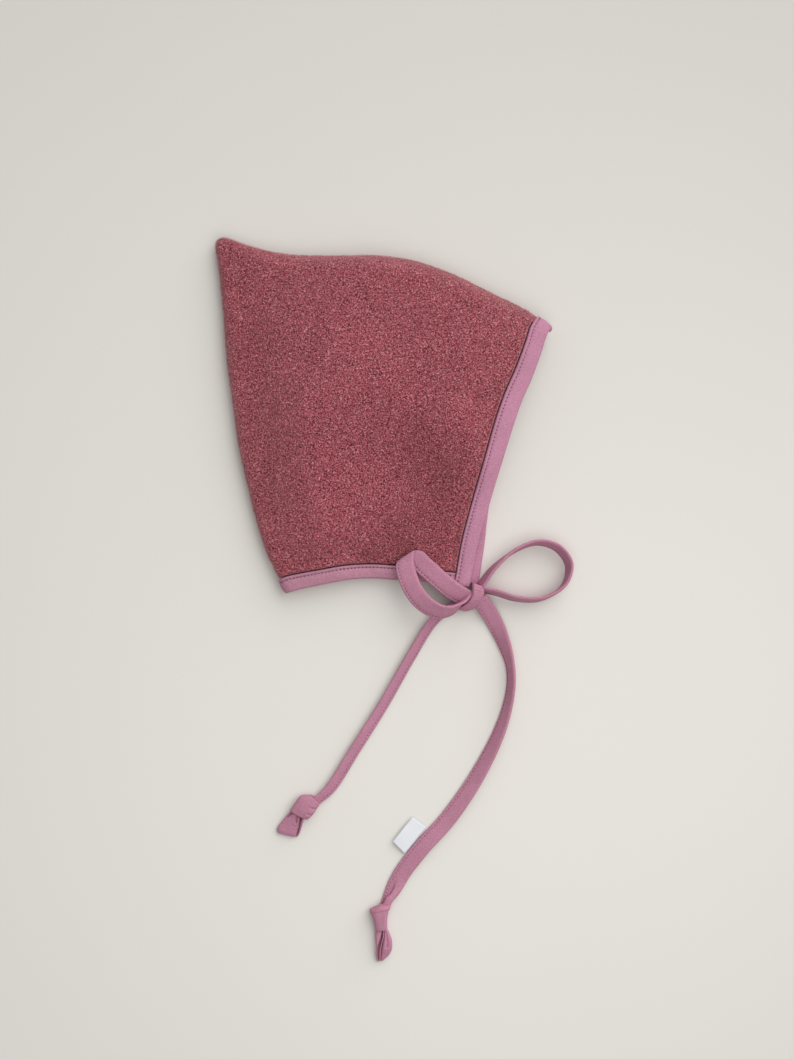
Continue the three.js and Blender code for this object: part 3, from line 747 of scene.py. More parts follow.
def piece(name, points, faces, material, nodes=(), uv=None, painted_shade=None):
    """A smooth mesh object that rides on the frame and stands for the named nodes.

    The last argument gives for each point, from 0 to 1, the painted shade of the creases and deep folds that
    it lies in.
    """
    mesh = bpy.data.meshes.new(name)
    flat = points.reshape(-1, 3).copy()
    flat[:, 2] = np.maximum(flat[:, 2], TABLE_CLEARANCE)
    mesh.from_pydata(flat.tolist(), [], faces)
    mesh.shade_smooth()
    if uv is not None:
        corner = np.empty(len(mesh.loops), np.int32)
        mesh.loops.foreach_get("vertex_index", corner)
        mesh.uv_layers.new(name="cloth").data.foreach_set("uv", uv.reshape(-1, 2)[corner].ravel())
    if painted_shade is not None:
        mesh.attributes.new("painted_shade", "FLOAT", "POINT").data.foreach_set("value", painted_shade.ravel())
    mesh.validate()
    mesh.materials.append(material)
    made = bpy.data.objects.new(name, mesh)
    bpy.context.scene.collection.objects.link(made)
    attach(made, "root")
    if nodes:
        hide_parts(*nodes)
    return made


def skinned(name, rings, material, nodes, uv):
    """A piece that is a closed skin over rings."""
    return piece(name, rings, outward(rings, lofted(rings)), material, nodes, uv)


# Materials

GREY = (0.5, 0.5, 0.5, 1.0)  # default of a group's colours


def add(tree, kind, inputs=None, **settings):
    """A shader node with its settings, and its inputs linked or set by name or number."""
    node = tree.nodes.new(kind)
    for name, value in settings.items():
        setattr(node, name, value)
    for name, value in (inputs or {}).items():
        if isinstance(value, bpy.types.NodeSocket):
            tree.links.new(value, node.inputs[name])
        else:
            node.inputs[name].default_value = value
    return node


def mixed(tree, factor, first, second, way="MIX"):
    """The colour between two colours, or of one laid on the other."""
    inputs = {0: factor, 6: first, 7: second}
    return add(tree, "ShaderNodeMix", inputs, data_type="RGBA", blend_type=way).outputs[2]


def ranged(tree, value, low, high, to_low=0.0, to_high=1.0):
    """A value carried over from one range to another."""
    inputs = {"Value": value, "From Min": low, "From Max": high, "To Min": to_low, "To Max": to_high}
    return add(tree, "ShaderNodeMapRange", inputs).outputs["Result"]


def computed(tree, operation, first, second):
    """Two values added, multiplied or the like."""
    return add(tree, "ShaderNodeMath", {0: first, 1: second}, operation=operation).outputs[0]


def speckle(tree, place, scale, detail=2.0, roughness=0.5):
    """Smooth noise about 0.5."""
    inputs = {"Vector": place, "Scale": scale, "Detail": detail, "Roughness": roughness}
    return add(tree, "ShaderNodeTexNoise", inputs).outputs["Fac"]


def shaded(tree, base, level):
    """The colour, lighter or darker by a level about 1."""
    grey = add(tree, "ShaderNodeCombineColor", {"Red": level, "Green": level, "Blue": level})
    return mixed(tree, 1.0, base, grey.outputs["Color"], "MULTIPLY")


def bumped(tree, height, share, depth):
    """Normals of a surface with a height on it."""
    inputs = {"Height": height, "Strength": share, "Distance": depth}
    return add(tree, "ShaderNodeBump", inputs).outputs["Normal"]


def new_group(name, inputs, outputs):
    """An empty shader node group with named sockets."""
    group = bpy.data.node_groups.new(name, "ShaderNodeTree")
    for label, kind, default in inputs:
        socket = group.interface.new_socket(name=label, in_out="INPUT", socket_type=kind)
        socket.default_value = default
    for label, kind in outputs:
        group.interface.new_socket(name=label, in_out="OUTPUT", socket_type=kind)
    return group, add(group, "NodeGroupInput").outputs, add(group, "NodeGroupOutput").inputs


def melange_group():
    """Blend of dark, main and light wool fibres, with the height of their nubs."""
    name = "Wool melange"
    if name in bpy.data.node_groups:
        return bpy.data.node_groups[name]
    group, given, result = new_group(
        name,
        (
            ("Dark", "NodeSocketColor", GREY),
            ("Main", "NodeSocketColor", GREY),
            ("Light", "NodeSocketColor", GREY),
            ("Grain", "NodeSocketFloat", 1000.0),
        ),
        (("Color", "NodeSocketColor"), ("Height", "NodeSocketFloat")),
    )
    place = add(group, "ShaderNodeTexCoord").outputs["Object"]
    shift = {0: place, 1: (0.37, 0.11, 0.53)}
    shifted = add(group, "ShaderNodeVectorMath", shift, operation="ADD").outputs[0]
    grain = speckle(group, place, given["Grain"], detail=3.0, roughness=0.65)
    fleck = speckle(group, shifted, computed(group, "MULTIPLY", given["Grain"], 0.8), roughness=0.7)
    cloud = speckle(group, shifted, 50.0, detail=3.0, roughness=0.6)
    # dark between the nubs, dark and light flecks over them, and soft clouds over all
    blend = mixed(group, ranged(group, grain, 0.44, 0.52), given["Dark"], given["Main"])
    blend = mixed(group, ranged(group, fleck, 0.44, 0.34, 0.0, 0.9), blend, given["Dark"])
    blend = mixed(group, ranged(group, fleck, 0.55, 0.68, 0.0, 0.8), blend, given["Light"])
    level = ranged(group, cloud, 0.3, 0.7, 0.92, 1.08)
    group.links.new(shaded(group, blend, level), result["Color"])
    group.links.new(computed(group, "ADD", grain, fleck), result["Height"])
    return group


def jersey_group():
    """Fine knit columns and the small puckers across a sewn tape, over the tape's own length and width."""
    name = "Jersey knit"
    if name in bpy.data.node_groups:
        return bpy.data.node_groups[name]
    group, given, result = new_group(
        name,
        (
            ("Color", "NodeSocketColor", GREY),
            ("Knit", "NodeSocketFloat", 0.7),
            ("Pucker", "NodeSocketFloat", 0.28),
            ("Pucker height", "NodeSocketFloat", 0.5),
        ),
        (("Color", "NodeSocketColor"), ("Height", "NodeSocketFloat")),
    )
    place = add(group, "ShaderNodeTexCoord").outputs["UV"]
    knit_inputs = {"Vector": place, "Scale": given["Knit"], "Distortion": 1.2, "Detail": 1.0}
    knit = add(group, "ShaderNodeTexWave", knit_inputs, bands_direction="DIAGONAL").outputs["Fac"]
    pucker_inputs = {"Vector": place, "Scale": given["Pucker"], "Distortion": 3.0, "Detail Scale": 0.6}
    pucker = add(group, "ShaderNodeTexWave", pucker_inputs, bands_direction="X").outputs["Fac"]
    body = add(group, "ShaderNodeTexCoord").outputs["Object"]
    fleck = speckle(group, body, 1500.0)
    cloud = speckle(group, body, 60.0)
    # each effect lightens and darkens the colour by a small share
    level = computed(group, "ADD", ranged(group, fleck, 0.3, 0.7, -0.16, 0.16), 1.0)
    level = computed(group, "ADD", level, ranged(group, cloud, 0.3, 0.7, -0.05, 0.05))
    level = computed(group, "ADD", level, ranged(group, knit, 0.0, 1.0, -0.07, 0.07))
    group.links.new(shaded(group, given["Color"], level), result["Color"])
    rows = computed(group, "MULTIPLY", pucker, given["Pucker height"])
    fine = computed(group, "MULTIPLY", knit, 0.4)
    height = computed(group, "ADD", computed(group, "ADD", rows, fine), fleck)
    group.links.new(height, result["Height"])
    return group


def kept(make):
    """Makes a material on its first use, and finds it by its name after that."""

    def found(name, *looks):
        return bpy.data.materials.get(name) or make(name, *looks)

    return found


def principled(name, roughness, sheen, sheen_tint):
    """A new material, its tree and its shader, soft and matte like cloth."""
    material = bpy.data.materials.new(name)
    material.use_nodes = True
    shader = material.node_tree.nodes["Principled BSDF"]
    shader.inputs["Roughness"].default_value = roughness
    shader.inputs["Specular IOR Level"].default_value = 0.2
    shader.inputs["Sheen Weight"].default_value = sheen
    shader.inputs["Sheen Roughness"].default_value = 0.5
    shader.inputs["Sheen Tint"].default_value = (*sheen_tint, 1.0)
    return material, material.node_tree, shader


def toned(base, level):
    """A colour made lighter or darker, for a shader."""
    return (*(level * part for part in base), 1.0)


@kept
def wool_material(name, blend_of, grain, bump):
    """Felted wool or its loose fibres, with painted shade: a point attribute darkens it in creases and deep
    folds.
    """
    material, tree, shader = principled(name, roughness=0.95, sheen=0.7, sheen_tint=(0.95, 0.6, 0.63))
    blend = add(tree, "ShaderNodeGroup", node_tree=melange_group())
    for socket, value in zip(("Dark", "Main", "Light"), blend_of):
        blend.inputs[socket].default_value = (*value, 1.0)
    blend.inputs["Grain"].default_value = grain
    # painted shade: the point attribute mixes the wool towards half its darkest colour in creases and deep
    # folds
    painted_shade = add(tree, "ShaderNodeAttribute", attribute_name="painted_shade").outputs["Fac"]
    shade = mixed(tree, painted_shade, blend.outputs["Color"], toned(blend_of[0], 0.5))
    tree.links.new(shade, shader.inputs["Base Color"])
    tree.links.new(bumped(tree, blend.outputs["Height"], bump, 0.5 * MM), shader.inputs["Normal"])
    return material


@kept
def jersey_material(name, tint, pucker_height):
    """Jersey of one colour, with its knit and puckers."""
    material, tree, shader = principled(name, roughness=0.8, sheen=0.15, sheen_tint=tint)
    knit = add(tree, "ShaderNodeGroup", node_tree=jersey_group())
    knit.inputs["Color"].default_value = (*tint, 1.0)
    knit.inputs["Pucker height"].default_value = pucker_height
    tree.links.new(knit.outputs["Color"], shader.inputs["Base Color"])
    tree.links.new(bumped(tree, knit.outputs["Height"], 0.7, 0.2 * MM), shader.inputs["Normal"])
    return material


@kept
def thread_material(name, tint):
    """Sewing thread with darker strands in it."""
    material, tree, shader = principled(name, roughness=0.6, sheen=0.1, sheen_tint=tint)
    place = add(tree, "ShaderNodeTexCoord").outputs["Object"]
    strand = ranged(tree, speckle(tree, place, 4000.0), 0.35, 0.65)
    tree.links.new(mixed(tree, strand, toned(tint, 0.7), (*tint, 1.0)), shader.inputs["Base Color"])
    return material


@kept
def label_material(name, tint):
    """Woven tape of the label."""
    material, tree, shader = principled(name, roughness=0.5, sheen=0.1, sheen_tint=tint)
    place = add(tree, "ShaderNodeTexCoord").outputs["UV"]
    warp = add(tree, "ShaderNodeTexWave", {"Vector": place, "Scale": 1.1}, bands_direction="X")
    weft = add(tree, "ShaderNodeTexWave", {"Vector": place, "Scale": 0.8}, bands_direction="Y")
    weave = computed(tree, "MULTIPLY", warp.outputs["Fac"], weft.outputs["Fac"])
    tree.links.new(mixed(tree, weave, toned(tint, 0.86), (*tint, 1.0)), shader.inputs["Base Color"])
    tree.links.new(bumped(tree, weave, 0.4, 0.1 * MM), shader.inputs["Normal"])
    return material


# Wool and fuzz


def wool_offset(side, place, wool):
    """How far the wool's outer face stands off the middle of the cloth."""
    pulled = wool.seam_pull * bell(place.point[..., 2] - place.seam, SEAM_SPREAD)
    swollen = wool.puff * bell(place.beyond - PUFF_AT, PUFF_SPREAD)
    tucked = wool.tuck * bell(place.beyond - TUCK_AT, TUCK_SPREAD)
    coarse = lumps(place.point, wool.lump_size, 3.0)
    fine = lumps(place.point, 0.4 * wool.lump_size, 9.0)
    uneven = wool.lump * (coarse + 0.6 * fine) * smoothstep(place.beyond, 0, 2 * MM)
    return side.half + uneven + (swollen - tucked) * (place.rise > ON_TOP) - pulled


def side_steps(roll, flat, tape):
    """Steps a and b of a side, as grids."""
    a = cloth_steps(roll, flat, tape)
    return np.meshgrid(a, 1 - a[::-1])


def wool_grids(side, wool, steps):
    """Outer face of a side, its normals, its share of the rolled edge's height, and the painted shade of its
    creases and deep folds.
    """
    across, along = side_steps(*steps)
    place = side.middle(across, along)
    out = side.frame(across, along).out
    outer = place.point + out * wool_offset(side, place, wool)[..., None]
    # painted shade along the crease where a binding's stitches pull the wool in
    sewn = SEWN_PAINTED_SHADE * bell(place.beyond - SEWN_AT, SEWN_SPREAD) * (place.rise > ON_TOP)
    # painted shade in the deep folds of the upper side, more in a deeper fold
    dip = np.maximum(-fold_at(place.point), 0) * (side.facing > 0)
    folded = FOLD_PAINTED_SHADE * (1 - np.exp(-dip / FOLD_DEPTH))
    return outer, out, place.rise, np.maximum(sewn, folded)


def cells(grid):
    """Edges of a grid's cells from their first corners, both ways, and the cells' areas."""
    edge_u = grid[:-1, 1:] - grid[:-1, :-1]
    edge_v = grid[1:, :-1] - grid[:-1, :-1]
    return edge_u, edge_v, np.linalg.norm(np.cross(edge_u, edge_v), axis=-1)


def wool_side(name, side, wool, steps, node):
    """A side's wool: a fine outer face, and an inner face with every fourth of its points."""
    every = 4
    outer, _, _, painted_shade = wool_grids(side, wool, steps)
    inner_a, inner_b = (grid[:, ::every][:, ::-1] for grid in side_steps(*steps))
    inner = side.skin(inner_a, inner_b, np.full(inner_a.shape, -side.half))
    rings = np.concatenate([outer, inner], axis=1)
    # painted shade on the outer face only
    creases = np.concatenate([painted_shade, np.zeros(inner_a.shape)], axis=1)
    rows, count = rings.shape[:2]
    faces = loft_quads(rows, count).tolist()
    for start, turn in ((0, 1), ((rows - 1) * count, -1)):
        for strip in range(inner.shape[1] - 1):
            near = [start + strip * every + step for step in range(every + 1)]
            last = start + count - 1 - strip
            faces.append([*near, last - 1, last][::turn])
    points = rings.reshape(-1, 3)
    felt = wool_material("felted_wool", (wool.dark, wool.middle, wool.light), WOOL_GRAIN, 1.0)
    made = piece(name, points, outward(points, faces), felt, (node,), painted_shade=creases)
    return made, outer


def wool_fuzz(name, side, wool, count, seed):
    """Loose fibres that lie on a side, each a thin bent ribbon."""
    rng = np.random.default_rng(seed)
    outer, out, rise, painted_shade = wool_grids(side, wool, FUZZ_STEPS)
    edge_u, edge_v, area = cells(outer)
    rim = 1 - rise[:-1, :-1]
    # painted light: more of the light fibres at the seams lighten the rim
    area *= 1 + RIM_FIBRES * rim
    # fewer fibres where shade is painted, so they don't lighten it
    area *= 1 - painted_shade[:-1, :-1]
    under_tape = FUZZ_STEPS[2] + 1
    area[:under_tape] = 0.0
    area[:, -under_tape - 1 :] = 0.0
    cell = rng.choice(area.size, count, p=(area / area.sum()).ravel())
    row, column = np.unravel_index(cell, area.shape)
    u, v = rng.random((2, count, 1))
    root = outer[row, column] + edge_u[row, column] * u + edge_v[row, column] * v
    normal = out[row, column]
    drawn = rng.normal(size=(count, 3))
    run = unit(drawn - normal * np.sum(drawn * normal, axis=1, keepdims=True))
    beside = np.cross(normal, run)
    length = wool.fibre_length * rng.uniform(*FIBRE_LENGTHS, (count, 1))
    bend = length * rng.normal(0, FIBRE_BEND, (count, 1))
    lift = length * rng.uniform(0.0, FIBRE_LIFT, (count, 1)) * (1 + RIM_LIFT * rim[row, column])[:, None]
    half = wool.fibre_width / 2
    points = []
    for share, width in FIBRE_SHAPE:
        lifted = FIBRE_OFF + lift * share * (1.6 - share)
        middle = root + run * length * share + beside * bend * share**2 + normal * lifted
        points += [middle - beside * half * width, middle + beside * half * width]
    corners = np.stack(points, axis=1)
    first = np.arange(count)[:, None] * 6
    faces = np.concatenate([first + (0, 1, 3, 2), first + (2, 3, 5, 4)]).tolist()
    blend = (wool.fibre_dark, wool.fibre_middle, wool.fibre_light)
    return piece(name, corners, faces, wool_material("loose_fibre", blend, FIBRE_GRAIN, 0.0))


# Bindings and stitches


def tape_height(x, width, tape):
    """Height of a bound tape above the wool, at a distance from its folded inner edge."""
    rounded = np.sqrt(np.maximum(1 - (np.maximum(FOLD_ROUND - x, 0) / FOLD_ROUND) ** 2, 0))
    past = np.clip((x - tape.stitch_inset) / (width - tape.stitch_inset), 0, 1)
    ridge = RIDGE * bell(x - 0.5 * tape.stitch_inset, RIDGE_SPREAD)
    groove = GROOVE * bell(x - tape.stitch_inset, GROOVE_SPREAD)
    return rounded * (tape.thickness + ridge) + tape.swell * np.sin(math.pi * past) - groove


def thread_pull(gone, tape):
    """From 0 at the middle of each stitch to 1 between two, where the thread goes in."""
    return 0.5 + 0.5 * np.cos(2 * math.pi * gone / tape.stitch_pitch)[:, None]


def tape_rings(side, width, place, tape, rows, ear):
    """Rings, cloth coordinates and stitch lines of a tape folded over an open edge.

    place(inset, offset) gives points at shares of the tape's width from the edge, rows is how far along the
    edge each ring stands, and ear is how much further than elsewhere its nose reaches there.
    """
    count = len(width)
    width = width[:, None]
    lip = np.array(LIP_STEPS) * tape.stitch_inset
    beyond_lip = lip[-1] + (width - lip[-1]) * np.linspace(0, 1, 12)[1:]
    x = np.concatenate([np.tile(lip, (count, 1)), beyond_lip], axis=1)
    height = tape_height(x, width, tape)
    height -= BINDING_PULL * thread_pull(rows, tape) * bell(x - tape.stitch_inset, PULL_SPREAD)
    along = np.stack([np.broadcast_to(rows[:, None], x.shape), x, np.zeros_like(x)], axis=-1)
    height += WAVE * lumps(along, WAVE_SIZE, side.facing * 7.0) * smoothstep(x, 0, 2 * MM)
    inset = 1 - x / width
    face = side.half + AIR
    upper = place(inset, face + height)
    lower = place(inset, -face - height)[:, ::-1]
    turn = np.tile(np.linspace(0, math.pi, 11)[1:-1], (count, 1))
    brim = face + height[:, -1:]
    nose = place(np.zeros_like(turn), brim * np.cos(turn), (NOSE + ear)[:, None] * np.sin(turn))
    back = np.tile((1.0, 0.5, 0.0), (count, 1))
    inner_lower = place(back, np.full(back.shape, -face))
    edge = np.zeros((count, 1))
    inner_nose = place(edge, edge, INNER_NOSE)
    inner_upper = place(back[:, ::-1], np.full(back.shape, face))
    rings = np.concatenate([upper, nose, lower, inner_lower, inner_nose, inner_upper], axis=1)
    girth = np.cumsum(np.linalg.norm(np.diff(rings, axis=1, prepend=rings[:, :1]), axis=-1), axis=1)
    uv = np.stack(np.broadcast_arrays(rows[:, None], girth), axis=-1) / MM
    seam = np.full((count, 1), tape.stitch_inset)
    seam_height = face + tape_height(seam, width, tape)
    lines = [place(1 - seam / width, sign * seam_height)[:, 0] for sign in (1, -1)]
    return rings, uv, lines


def edge_steps(steps, on_face):
    """Steps a and b along a side's open face edge or neck edge."""
    return (np.ones_like(steps), steps) if on_face else (steps, np.zeros_like(steps))


def binding_rings(side, steps, tape, on_face):
    """Rings, cloth coordinates and stitch lines of a binding at steps along its edge of a side."""
    a, b = edge_steps(steps, on_face)
    ways = side.frame(a, b)
    towards = ways.to_face if on_face else -ways.to_crown
    rows = gone_along(side.middle(a, b).point)

    def place(inset, offset, past=0.0):
        along = np.broadcast_to(steps[:, None], inset.shape)
        back = inset * TAPE_SHARE
        spot = (1 - back, along) if on_face else (along, back)
        return side.skin(*spot, offset) + towards[:, None] * np.broadcast_to(past, inset.shape)[..., None]

    width = side.face_tape(b) if on_face else side.neck_tape(a)
    ear = tape.ear * bell(rows[-1] - rows, EAR_RUN) if on_face else np.zeros(rows.shape)
    return tape_rings(side, width, place, tape, rows, ear)


def stitch_row(line, out, tape):
    """Points and faces of the stitches along a line, each a short thread that dips in at both ends."""
    gone = gone_along(line)
    starts = np.arange(0.5 * tape.stitch_pitch, gone[-1] - 0.5 * tape.stitch_pitch, tape.stitch_pitch)
    shares, fat, sunk = np.array(STITCH_SHAPE).T
    at = starts[:, None] + shares * tape.stitch_length / 2

    def read(rows):
        return np.stack([np.interp(at, gone, rows[:, axis]) for axis in range(3)], axis=-1)

    middle = read(line)
    normal = unit(read(out))
    run = unit(middle[:, -1] - middle[:, 0])[:, None]
    beside = np.cross(normal, run)
    middle = middle + normal * ((0.3 - sunk) * tape.thread)[:, None]
    turn = np.arange(STITCH_SIDES) * 2 * math.pi / STITCH_SIDES
    ring = np.cos(turn)[:, None] * beside[:, :, None] + np.sin(turn)[:, None] * normal[:, :, None]
    points = middle[:, :, None] + ring * (fat * tape.thread / 2)[:, None, None]
    count = len(shares) * STITCH_SIDES
    single = lofted(np.empty((len(shares), STITCH_SIDES, 3)))
    faces = [[corner + number * count for corner in face] for number in range(len(starts)) for face in single]
    return points.reshape(-1, 3), faces


def line_out(line, towards):
    """Directions out of the cloth along a stitch line, square to it."""
    run = unit(np.gradient(line, axis=0))
    return unit(towards - run * np.sum(towards * run, axis=-1, keepdims=True))


def stitch_rows(lines, out, tape):
    """Stitches along the line on a tape's upper face and the one on its lower face."""
    return [stitch_row(line, line_out(line, out * sign), tape) for line, sign in zip(lines, (1, -1))]


def thread_piece(name, rows, tape):
    """Several stitch rows as one piece."""
    faces, start = [], 0
    for row_points, row_faces in rows:
        faces += [[corner + start for corner in face] for face in row_faces]
        start += len(row_points)
    points = np.concatenate([row_points for row_points, _ in rows])
    return piece(name, points, faces, thread_material("sewing_thread", tape.thread_colour))


# Ties, knots and label


def standing_route(rows):
    """Centres and width directions of a tape that stands free."""
    rows = np.array(rows, float)
    turn, tilt = np.radians(rows[:, 3]), np.radians(rows[:, 4])
    widths = np.stack([np.cos(tilt) * np.cos(turn), np.cos(tilt) * np.sin(turn), np.sin(tilt)], axis=-1)
    return rows[:, :3] * MM, widths


def lying_route(rows, width, thickness):
    """Centres and width directions of a tape that lies on the table on its lower edge."""
    rows = np.array(rows, float)
    flat = np.column_stack([rows[:, :2] * MM, np.zeros(len(rows))])
    tangent = Curve(flat).tangent(np.linspace(0, 1, len(rows)))
    left = unit(np.column_stack([-tangent[:, 1], tangent[:, 0], np.zeros(len(rows))]))
    tilt = np.radians(rows[:, 2])[:, None]
    widths = left * np.cos(tilt) + UP * np.sin(tilt)
    edge = width / 2 * np.abs(np.sin(tilt)) + thickness / 2 * np.abs(np.cos(tilt))
    return flat + UP * (edge + rows[:, 3:] * MM + TIE_CLEARANCE), widths


def tie_tape(centres, widths, full, drawn, ties, tape, steps=14):
    """Rings, cloth coordinates, middle, stitch lines and facing of a folded tie, stitched along one edge.

    drawn is the share of its width that a knot at the tape's end draws in.
    """
    path, across = Curve(centres), Curve(widths)
    t = np.linspace(0, 1, (len(centres) - 1) * steps + 1)
    centre, tangent = path.at(t), path.tangent(t)
    width = unit(across.at(t))
    depth = unit(np.cross(tangent, width))
    depth *= 1.0 if depth[:, 2].sum() >= 0 else -1.0
    gone = gone_along(centre)
    share = np.array(TIE_STEPS)
    half = full / 2 * (1 - drawn * bell(gone[-1] - gone, ties.draw_run))[:, None]
    w = half * share
    seam = -half + tape.stitch_inset
    rim = np.sqrt(np.maximum(1 - np.abs(share) ** 8, 0.02))
    thick = ties.thickness / 2 * rim * (1 - TIE_GROOVE * bell(w - seam, GROOVE_SPREAD))
    thick = thick - TIE_PULL * thread_pull(gone, tape) * bell(w - seam, PULL_SPREAD)

    def at(side_w, side_d):
        return centre[:, None] + width[:, None] * side_w[..., None] + depth[:, None] * side_d[..., None]

    top = at(w, thick)
    under = at(w, -thick)[:, ::-1]
    slit = at(w[:, :1] + SLIT, np.zeros_like(half))
    rings = np.concatenate([top, under, slit], axis=1)
    lateral = full / 2 * np.concatenate([share, share[::-1], share[:1]])
    uv = np.stack(np.broadcast_arrays(gone[:, None], lateral), axis=-1) / MM
    stitched = int(np.argmin(np.abs(w[0] - seam[0])))
    lines = (top[:, stitched], under[:, len(share) - 1 - stitched])
    return rings, uv, centre, lines, depth


def pillow(rows, creases, rim, boxy=0.75, steps=10, sides=44):
    """Rings of a soft form between two edges, with creases on its top and its ends turned in.

    boxy is 1 where its section is an oval, and less where it is squarer.
    """
    rows = metres(rows)
    t = np.linspace(0, 1, (len(rows) - 1) * steps + 1)
    held = Curve(rows).at(t)
    left, right, rise = held[:, [0, 1, 4]], held[:, [2, 3, 4]], held[:, 5]
    centre, half = (left + right) / 2, (right - left) / 2
    reach = np.linalg.norm(half, axis=-1)
    angle = (np.arange(sides) + 0.5) * 2 * math.pi / sides
    lie = np.sign(np.cos(angle)) * np.abs(np.cos(angle)) ** boxy
    stand = np.sign(np.sin(angle)) * np.abs(np.sin(angle)) ** boxy
    sunk = np.zeros((len(t), sides))
    scale = np.array((gone_along(centre)[-1], reach.mean()))
    here = np.stack(np.broadcast_arrays(t[:, None], lie), axis=-1) * scale
    for row in creases:
        depth, spread = metres(row[4:6])
        away = off_line(here, row[0:2] * scale, row[2:4] * scale)
        # a low hump runs along both sides of a crease
        sunk += depth * (bell(away, spread) - 0.3 * bell(away - 2.2 * spread, spread))
    up = rise[:, None] * stand - sunk * np.clip(stand, 0, 1)
    rings = centre[:, None] + half[:, None] * lie[:, None] + UP * up[..., None]
    first_way = unit(centre[1] - centre[0])
    last_way = unit(centre[-1] - centre[-2])
    before, after = [], []
    for keep, back in PILLOW_ENDS:
        before.append(centre[0] + (rings[0] - centre[0]) * keep + first_way * rim * back)
        after.insert(0, centre[-1] + (rings[-1] - centre[-1]) * keep - last_way * rim * back)
    return np.concatenate([before, rings, after])


def pillow_uv(rings):
    """Cloth coordinates of a pillow: along it, and round it."""
    along = gone_along(rings.mean(axis=1))
    lateral = np.linalg.norm(rings - rings[:, :1], axis=-1)
    return np.stack(np.broadcast_arrays(along[:, None], lateral), axis=-1) / MM


# Operators


class BonnetOperator(bpy.types.Operator):
    """Shared by the bonnet's operators."""

    bl_options = {"REGISTER", "UNDO"}

    def execute(self, context):
        self.make(context.scene)
        return {"FINISHED"}


class BONNET_OT_stage(BonnetOperator):
    """Camera straight above, a plain table and soft light from the upper right"""

    bl_idname = "bonnet.stage"
    bl_label = "Stage"

    def make(self, scene):
        look = scene.bonnet_stage
        lens = bpy.data.cameras.new("camera")
        lens.lens, lens.sensor_width = LENS, SENSOR
        camera = bpy.data.objects.new("camera", lens)
        camera.location = (look.across, look.along, look.height)
        scene.collection.objects.link(camera)
        scene.camera = camera
        self.floor(scene, look)
        self.light(scene, "key", "SUN", look.key, KEY_FROM).angle = KEY_SPREAD
        self.light(scene, "fill", "AREA", look.fill, FILL_AT).size = FILL_SIZE
        world = bpy.data.worlds.new("room")
        world.use_nodes = True
        background = world.node_tree.nodes["Background"]
        background.inputs["Color"].default_value = ROOM_COLOUR
        background.inputs["Strength"].default_value = look.sky
        scene.world = world
        scene.view_settings.view_transform = "Standard"

    def floor(self, scene, look):
        corners = [(x * TABLE_REACH, y * TABLE_REACH, 0) for x, y in ((-1, -1), (1, -1), (1, 1), (-1, 1))]
        mesh = bpy.data.meshes.new("table")
        mesh.from_pydata(corners, [], [(0, 1, 2, 3)])
        material, tree, shader = principled("table_paper", roughness=0.9, sheen=0.0, sheen_tint=look.floor)
        place = add(tree, "ShaderNodeTexCoord").outputs["Object"]
        shade = mixed(tree, speckle(tree, place, 6.0), (*look.floor, 1.0), toned(look.floor, 1.02))
        tree.links.new(shade, shader.inputs["Base Color"])
        mesh.materials.append(material)
        table = bpy.data.objects.new("table", mesh)
        scene.collection.objects.link(table)

    def light(self, scene, name, kind, strength, place):
        lamp = bpy.data.lights.new(name, kind)
        lamp.energy = strength
        lamp.color = LAMP_COLOUR
        made = bpy.data.objects.new(name, lamp)
        made.location = place
        made.rotation_euler = (-Vector(place)).to_track_quat("-Z", "Y").to_euler()
        made.visible_camera = False
        scene.collection.objects.link(made)
        return lamp


class BONNET_OT_knots(BonnetOperator):
    """The bow's band, and the two tail knots with their flared ends"""

    bl_idname = "bonnet.knots"
    bl_label = "Knots"

    PILLOWS = (
        ("bow_band", BOW_BAND, BOW_CREASES, 0.5, ("bow_knot",)),
        ("left_knot_wrap", KNOT_LEFT, KNOT_LEFT_CREASES, 0.6, ("tail_knot_left",)),
        ("left_tie_end", END_LEFT, END_LEFT_CREASES, 0.6, ()),
        ("left_tie_end_lip", END_LEFT_LIP, (), 0.8, ()),
        ("left_tie_end_lining", END_LEFT_LINING, (), 0.8, ()),
        ("right_tail_fold", TAIL_RIGHT_FOLD, (), 0.75, ()),
        ("right_knot_wrap", KNOT_RIGHT, KNOT_RIGHT_CREASES, 0.75, ("tail_knot_right",)),
        ("right_knot_lip", KNOT_RIGHT_LIP, (), 0.75, ()),
        ("right_tie_end", END_RIGHT, END_RIGHT_CREASES, 0.75, ()),
        ("right_tie_end_lip", END_RIGHT_LIP, (), 0.8, ()),
        ("right_tie_end_fold", END_RIGHT_FOLD, (), 0.8, ()),
        ("right_tie_end_lining", END_RIGHT_LINING, (), 0.8, ()),
    )

    def make(self, scene):
        material = jersey_material("tie_jersey", scene.bonnet_tape.tie_colour, TIE_PUCKER)
        for name, rows, creases, boxy, nodes in self.PILLOWS:
            rings = pillow(rows, creases, scene.bonnet_tape.thickness, boxy)
            skinned(name, rings, material, nodes, pillow_uv(rings))


